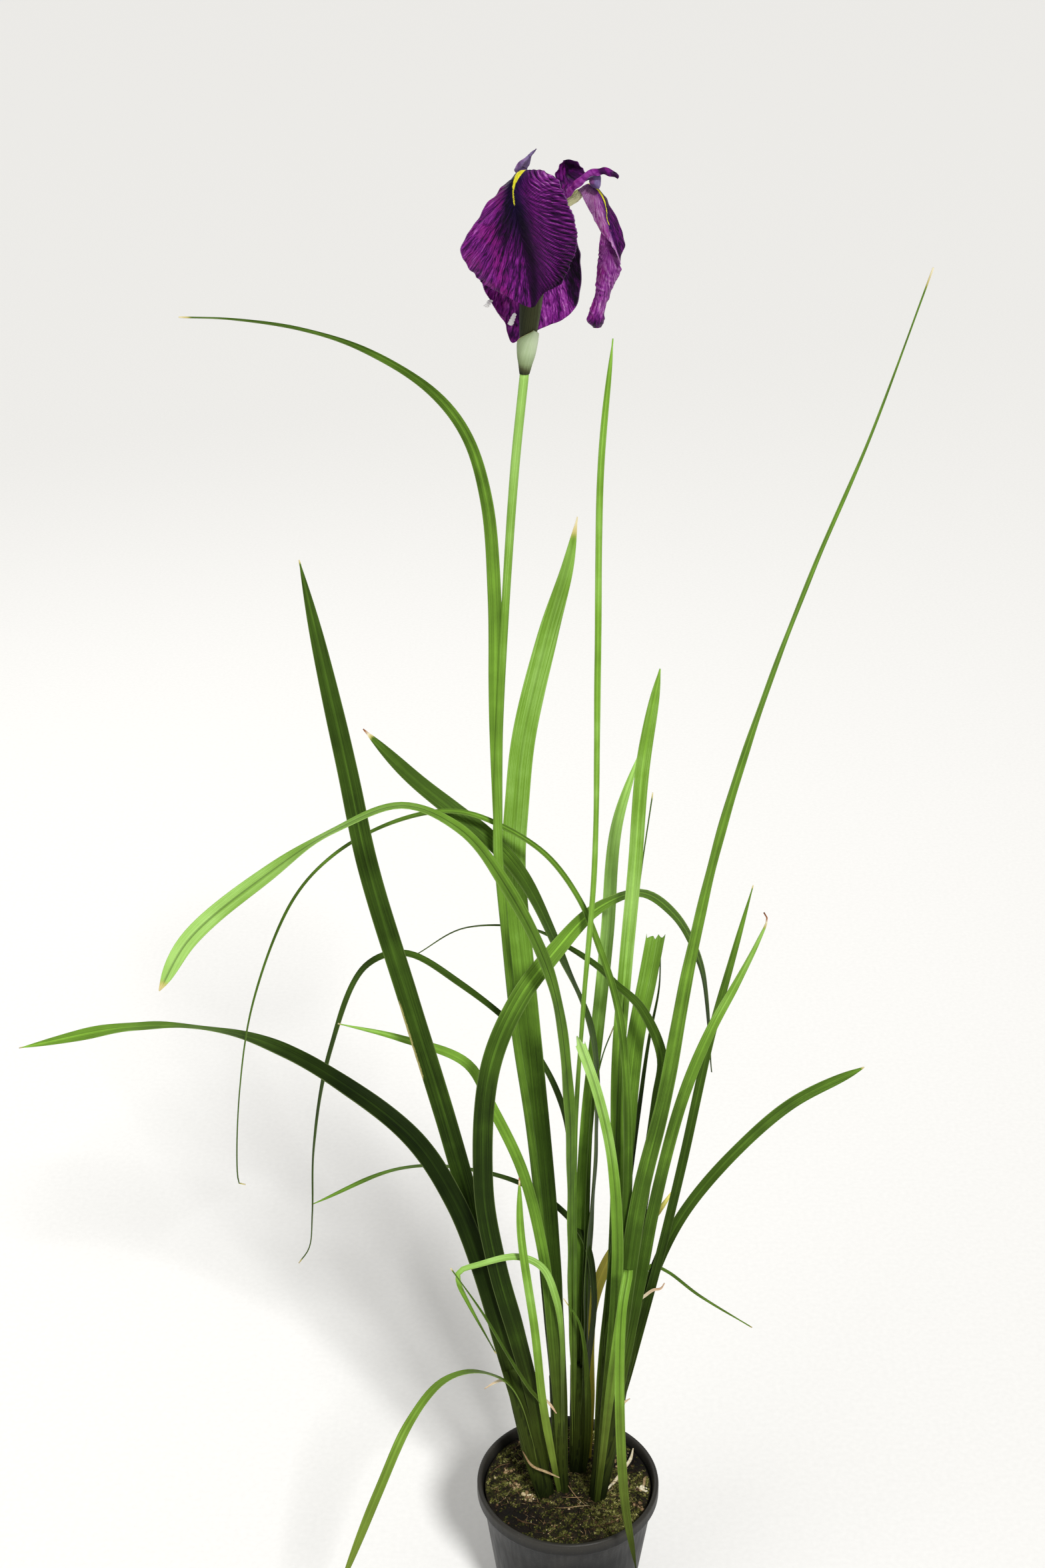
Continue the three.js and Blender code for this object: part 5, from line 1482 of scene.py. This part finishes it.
# %% Tufts of moss
TRIED, TUFTS, LEAFLETS = 11000, 6600, 7
FOOT_CLEAR = 5
LEAFLET_SLIM = 0.42
dice = np.random.default_rng(310)
x, y = scattered(dice, TRIED, bed_radius - 1.2)
clear = np.min([np.hypot(x - fx, y - fy) for fx, fy in SHOOT_FEET], axis=0) > FOOT_CLEAR
grows = clear & (mossy(x, y) + 0.5 * clumpy(x, y) + dice.normal(0, 0.4, len(x)) > -0.9)
x, y = x[grows][:TUFTS], y[grows][:TUFTS]
# This sets the size and the tone of the tufts; the paler tops of the clumps are painted light,
# with painted shade between them.
lush_and_lit = 0.6 * step_up(mossy(x, y), -1.0, 0.9) + 0.4 * step_up(clumpy(x, y), -0.8, 1.2)
root = np.repeat(on_soil(x, y, -0.3), LEAFLETS, axis=0)
size = np.repeat(0.8 + 0.9 * lush_and_lit * dice.uniform(0.6, 1.2, len(x)), LEAFLETS)
lean = np.stack([*dice.normal(0, 0.55, (2, len(root))), np.ones(len(root))], -1)
tip = root + unit(lean) * (size * dice.uniform(0.8, 1.3, len(root)))[:, None]
root[:, :2] += 0.25 * dice.normal(size=(len(root), 2))
tone = np.repeat(0.16 + 0.52 * lush_and_lit + dice.normal(0, 0.18, len(x)), LEAFLETS)
moss = spikes(root, tip, size * LEAFLET_SLIM, tone)
make_piece("moss_tufts", [moss], moss_green)

# %% [markdown]
# ## What lies on the soil
#
# Old straw, pale roots and dry leaf bases lie about on the moss. They are thin rods bent
# over a few listed places, and small rounded lumps.

# %% A ball of twenty faces
GOLDEN = (1 + 5 ** 0.5) / 2
SIGNS = [(a, b * GOLDEN) for a in (-1, 1) for b in (-1, 1)]
BALL = unit(np.array([(0, a, b) for a, b in SIGNS] + [(a, b, 0) for a, b in SIGNS]
                     + [(b, 0, a) for a, b in SIGNS], float))
near = np.linalg.norm(BALL[:, None] - BALL[None], axis=-1) < 1.1
BALL_FACES = np.array([(i, j, k) for i in range(12) for j in range(i + 1, 12)
                       for k in range(j + 1, 12) if near[i, j] and near[j, k] and near[i, k]])
first, second, third = BALL[BALL_FACES].transpose(1, 0, 2)
turned = np.einsum("ij,ij->i", first, np.cross(second, third)) < 0
BALL_FACES[turned] = BALL_FACES[turned][:, ::-1]


def crumbs(x, y, lift, size, tone, dice):
    """Rounded lumps: a twenty-sided ball stretched and turned by chance at each place."""
    stretch = size[:, None, None] * dice.uniform(0.55, 1.1, (len(x), 1, 3))
    turn = dice.uniform(0, 2 * np.pi, len(x))[:, None]
    a, b, c = np.moveaxis(BALL * stretch * dice.uniform(0.85, 1.15, (len(x), 12, 1)), -1, 0)
    local = np.stack([a * np.cos(turn) - b * np.sin(turn), a * np.sin(turn) + b * np.cos(turn),
                      c], -1)
    return small_bodies(local + on_soil(x, y, lift)[:, None], BALL_FACES, tone[:, None])


# %% Straw and pale roots
STRAND_LIFT = 0.6
STRAND_END = 0.35
STRAND_FLAT = 0.85
FIRST_STRAND_SEED = 401


def strand(places, thick, tone, seed):
    """A thin round rod over places on the soil, at a small height above it."""
    dice = np.random.default_rng(seed)
    route = []
    for k, (x, y, *height) in enumerate(places):
        lift = height[0] if height else STRAND_LIFT + dice.uniform(-0.2, 0.4)
        wide = thick * (STRAND_END if k in (0, len(places) - 1) else 1.0)
        route.append((*on_soil(x, y, lift), wide, wide * STRAND_FLAT))
    return rod(route, sides=10, rows=12 * len(places), seed=seed, tone=tone)


STRANDS = [
    ([(-30, -14, 40), (-24, -18.5, 32), (-14, -20.5, 28), (-6, -21, 24)], 1.8, [0.5, 0.62, 0.7]),
    ([(44.6, 29.4, 4), (42.4, 20, 2.5), (37, 10, 1.6), (31, 1, 1.8), (23.3, -9.7, 1.8)], 2.3,
     [0.95, 0.9, 0.85, 0.95]),
    ([(52.5, 7.6), (51, 4), (50, -1.6), (46, -6)], 2.0, [0.6, 0.7, 0.6]),
    ([(-5.2, 4.5, 3), (0.5, -8, 5), (6, -16, 2), (13.9, -22.6)], 0.7, [0.5, 0.6]),
    ([(-9, -22, 1), (-2, -25, 2.4), (6, -25, 2.8), (14, -21, 1.5)], 0.6, [0.6, 0.7]),
    ([(-4, -16, 3), (3, -18, 4), (10, -17, 3)], 0.6, [0.6, 0.55]),
    ([(-30, 40, 3), (-24, 33, 4), (-20, 24, 1)], 1.0, [0.45, 0.5]),
    ([(-52, 6, 2), (-46, 15, 1), (-38, 18)], 0.8, [0.3, 0.4]),
    ([(28, 20, 2), (22, 30, 3), (12, 38, 1)], 0.9, [0.4, 0.5]),
    ([(-36, -30), (-30, -36), (-20, -38)], 0.9, [0.3, 0.25]),
    ([(36, -28), (28, -36), (16, -40)], 0.8, [0.35, 0.3]),
]
straws = [strand(*one, seed=FIRST_STRAND_SEED + k) for k, one in enumerate(STRANDS)]

# %% Crumbs and short fibres
CRUMBS, FIBRES = 900, 420
PALE_SHARE = 0.1
CRUMB_CLUMPS = [
    # x, y, spread, how many, tone
    (-25.2, -13.6, 3.4, 40, 0.7), (49.6, -4.6, 2, 44, 0.95), (-35, -3, 3, 22, 0.5),
    (46, -20, 2.6, 14, 0.5), (-40, 12, 2.8, 16, 0.45), (22, 6, 3, 16, 0.55),
    (34, 16, 4, 24, 0.5), (-12, 30, 4, 18, 0.4), (30, -34, 3, 14, 0.35)]

dice = np.random.default_rng(420)
x, y = scattered(dice, CRUMBS, bed_radius - 2)
size = dice.uniform(0.3, 1.0, len(x)) * dice.uniform(0.6, 1.3, len(x))
pale = dice.uniform(size=len(x)) < PALE_SHARE
tone = np.where(pale, dice.uniform(0.5, 0.85, len(x)), dice.uniform(-0.1, 0.4, len(x)))
loose = crumbs(x, y, 0.3 * size, size, tone, dice)
clumps = []
for cx, cy, spread, count, light in CRUMB_CLUMPS:
    x = cx + dice.normal(0, spread / 1.6, count)
    y = cy + dice.normal(0, spread / 1.6, count)
    size = dice.uniform(0.3, 1.6, count)
    clumps.append(crumbs(x, y, 0.5, size, light + dice.normal(0, 0.16, count), dice))

x, y = scattered(dice, FIBRES, bed_radius - 5)
turn = dice.uniform(0, 2 * np.pi, len(x))
length = dice.uniform(2.5, 8, len(x))
root = on_soil(x, y, 0.5)
tip = root + np.stack([length * np.cos(turn), length * np.sin(turn),
                       dice.uniform(-0.3, 2.2, len(x))], -1)
inside = np.hypot(tip[:, 0], tip[:, 1]) < bed_radius - 2
fibres = spikes(root[inside], tip[inside], dice.uniform(0.35, 0.8, inside.sum()),
                dice.uniform(0.15, 0.75, inside.sum()))
make_piece("litter", [*straws, loose, fibres, *clumps], litter_straw)

# %% Torn scraps under the bloom
SHRED_NETS = [
    [[(-47.6, 891.6, 25), (-46.4, 891.9, 25.5), (-44.8, 891.4, 26)],
     [(-48.6, 889.4, 24.4), (-47.6, 890, 23.6), (-46.2, 889.6, 24.6)],
     [(-49.8, 888.8, 24), (-48.8, 888.2, 24), (-47.4, 888, 24.8)]],
    [[(-35, 884.6, 28), (-34, 885.2, 28.2), (-33, 884.4, 28.2)],
     [(-36.6, 881.6, 27.4), (-35.2, 881.8, 26.8), (-34, 881.6, 27.5)],
     [(-37.6, 879.6, 27), (-36.2, 878.8, 26.6), (-34.8, 879, 27.2)]],
]
shreds = [petal(net, rows=30, columns=21, seed=seed, tone=0.9, ruffle=ruffle, waves=4)
          for net, seed, ruffle in zip(SHRED_NETS, (431, 432), (0.35, 0.3))]
make_piece("petal_shreds", shreds, torn_white)

# %% [markdown]
# ## The rhizome
#
# The rhizome creeps just under the moss and carries the four shoots. It is a knobbly rod
# with a ring at each old leaf scar. Hardly any of it shows, but it holds the plant
# together, so it is made as carefully as the rest.

# %% Rhizome
RHIZOME_LEVEL, RHIZOME_RADIUS, SCARS = 98.0, 7.2, 15
RHIZOME_ROWS, RHIZOME_SIDES = 160, 40
RHIZOME_ARMS = [[(-24, -14), (-14, -11), (-3, -5), (8, -8), (18, -14), (30, -19)],
                [(-3, -5), (3, 4), (7, 11), (10, 20)]]


def bark_finish():
    r = Recipe("rhizome_bark", specular=0.25)
    round_it, along, seed = r.notes("grain")
    fibre = r.noise(r.vector(along * 1.6, round_it * 0.3, seed), detail=4.0, roughness=0.65)
    knots = r.noise(r.place(), 260.0)
    bark = r.ramp(fibre.around(0.9) + knots,
                  (0.2, "2b1b10"), (0.45, "553a24"), (0.65, "7d5b3a"), (0.9, "ad8b62"))
    return r.finish(bark, 0.85, fibre + knots, strength=0.8, distance=0.0012)


def rhizome_arm(path, seed):
    """Radius = full * rounded ends * (1 - a narrow ring at each scar + low knobs)."""
    t = np.linspace(0, 1, RHIZOME_ROWS)
    centre = walk(smooth_line([(x, y, RHIZOME_LEVEL) for x, y in path]), t)
    side = np.cross(unit(np.gradient(centre, axis=0)), [0.0, 0.0, 1.0])
    turn = (2 * np.pi * np.arange(RHIZOME_SIDES) / RHIZOME_SIDES)[None]
    ends = np.sqrt(np.minimum(1, 0.1 + 6 * np.minimum(t, 1 - t)))[:, None]
    ring = np.exp(-((np.mod(t * SCARS, 1) - 0.5) / 0.1) ** 2)[:, None]
    knobs = ripples(seed, 8, 0.8, 2.5)(turn * 2, t[:, None] * 20)
    radius = RHIZOME_RADIUS * ends * (1 - 0.07 * ring + 0.02 * knobs)
    rings = (centre[:, None] + side[:, None] * (radius * np.cos(turn))[..., None]
             + np.array([0, 0, 1.0]) * (radius * np.sin(turn))[..., None])
    mm = t[:, None] * line_length(centre)[-1]
    return shell(rings, grain=(radius * turn, mm, float(seed)), share=(0.0, 0.0, 0.5))


rhizome_brown = bark_finish()
arms = [rhizome_arm(path, 501 + k) for k, path in enumerate(RHIZOME_ARMS)]
make_piece("rhizome_bark", arms, rhizome_brown, "rhizome")
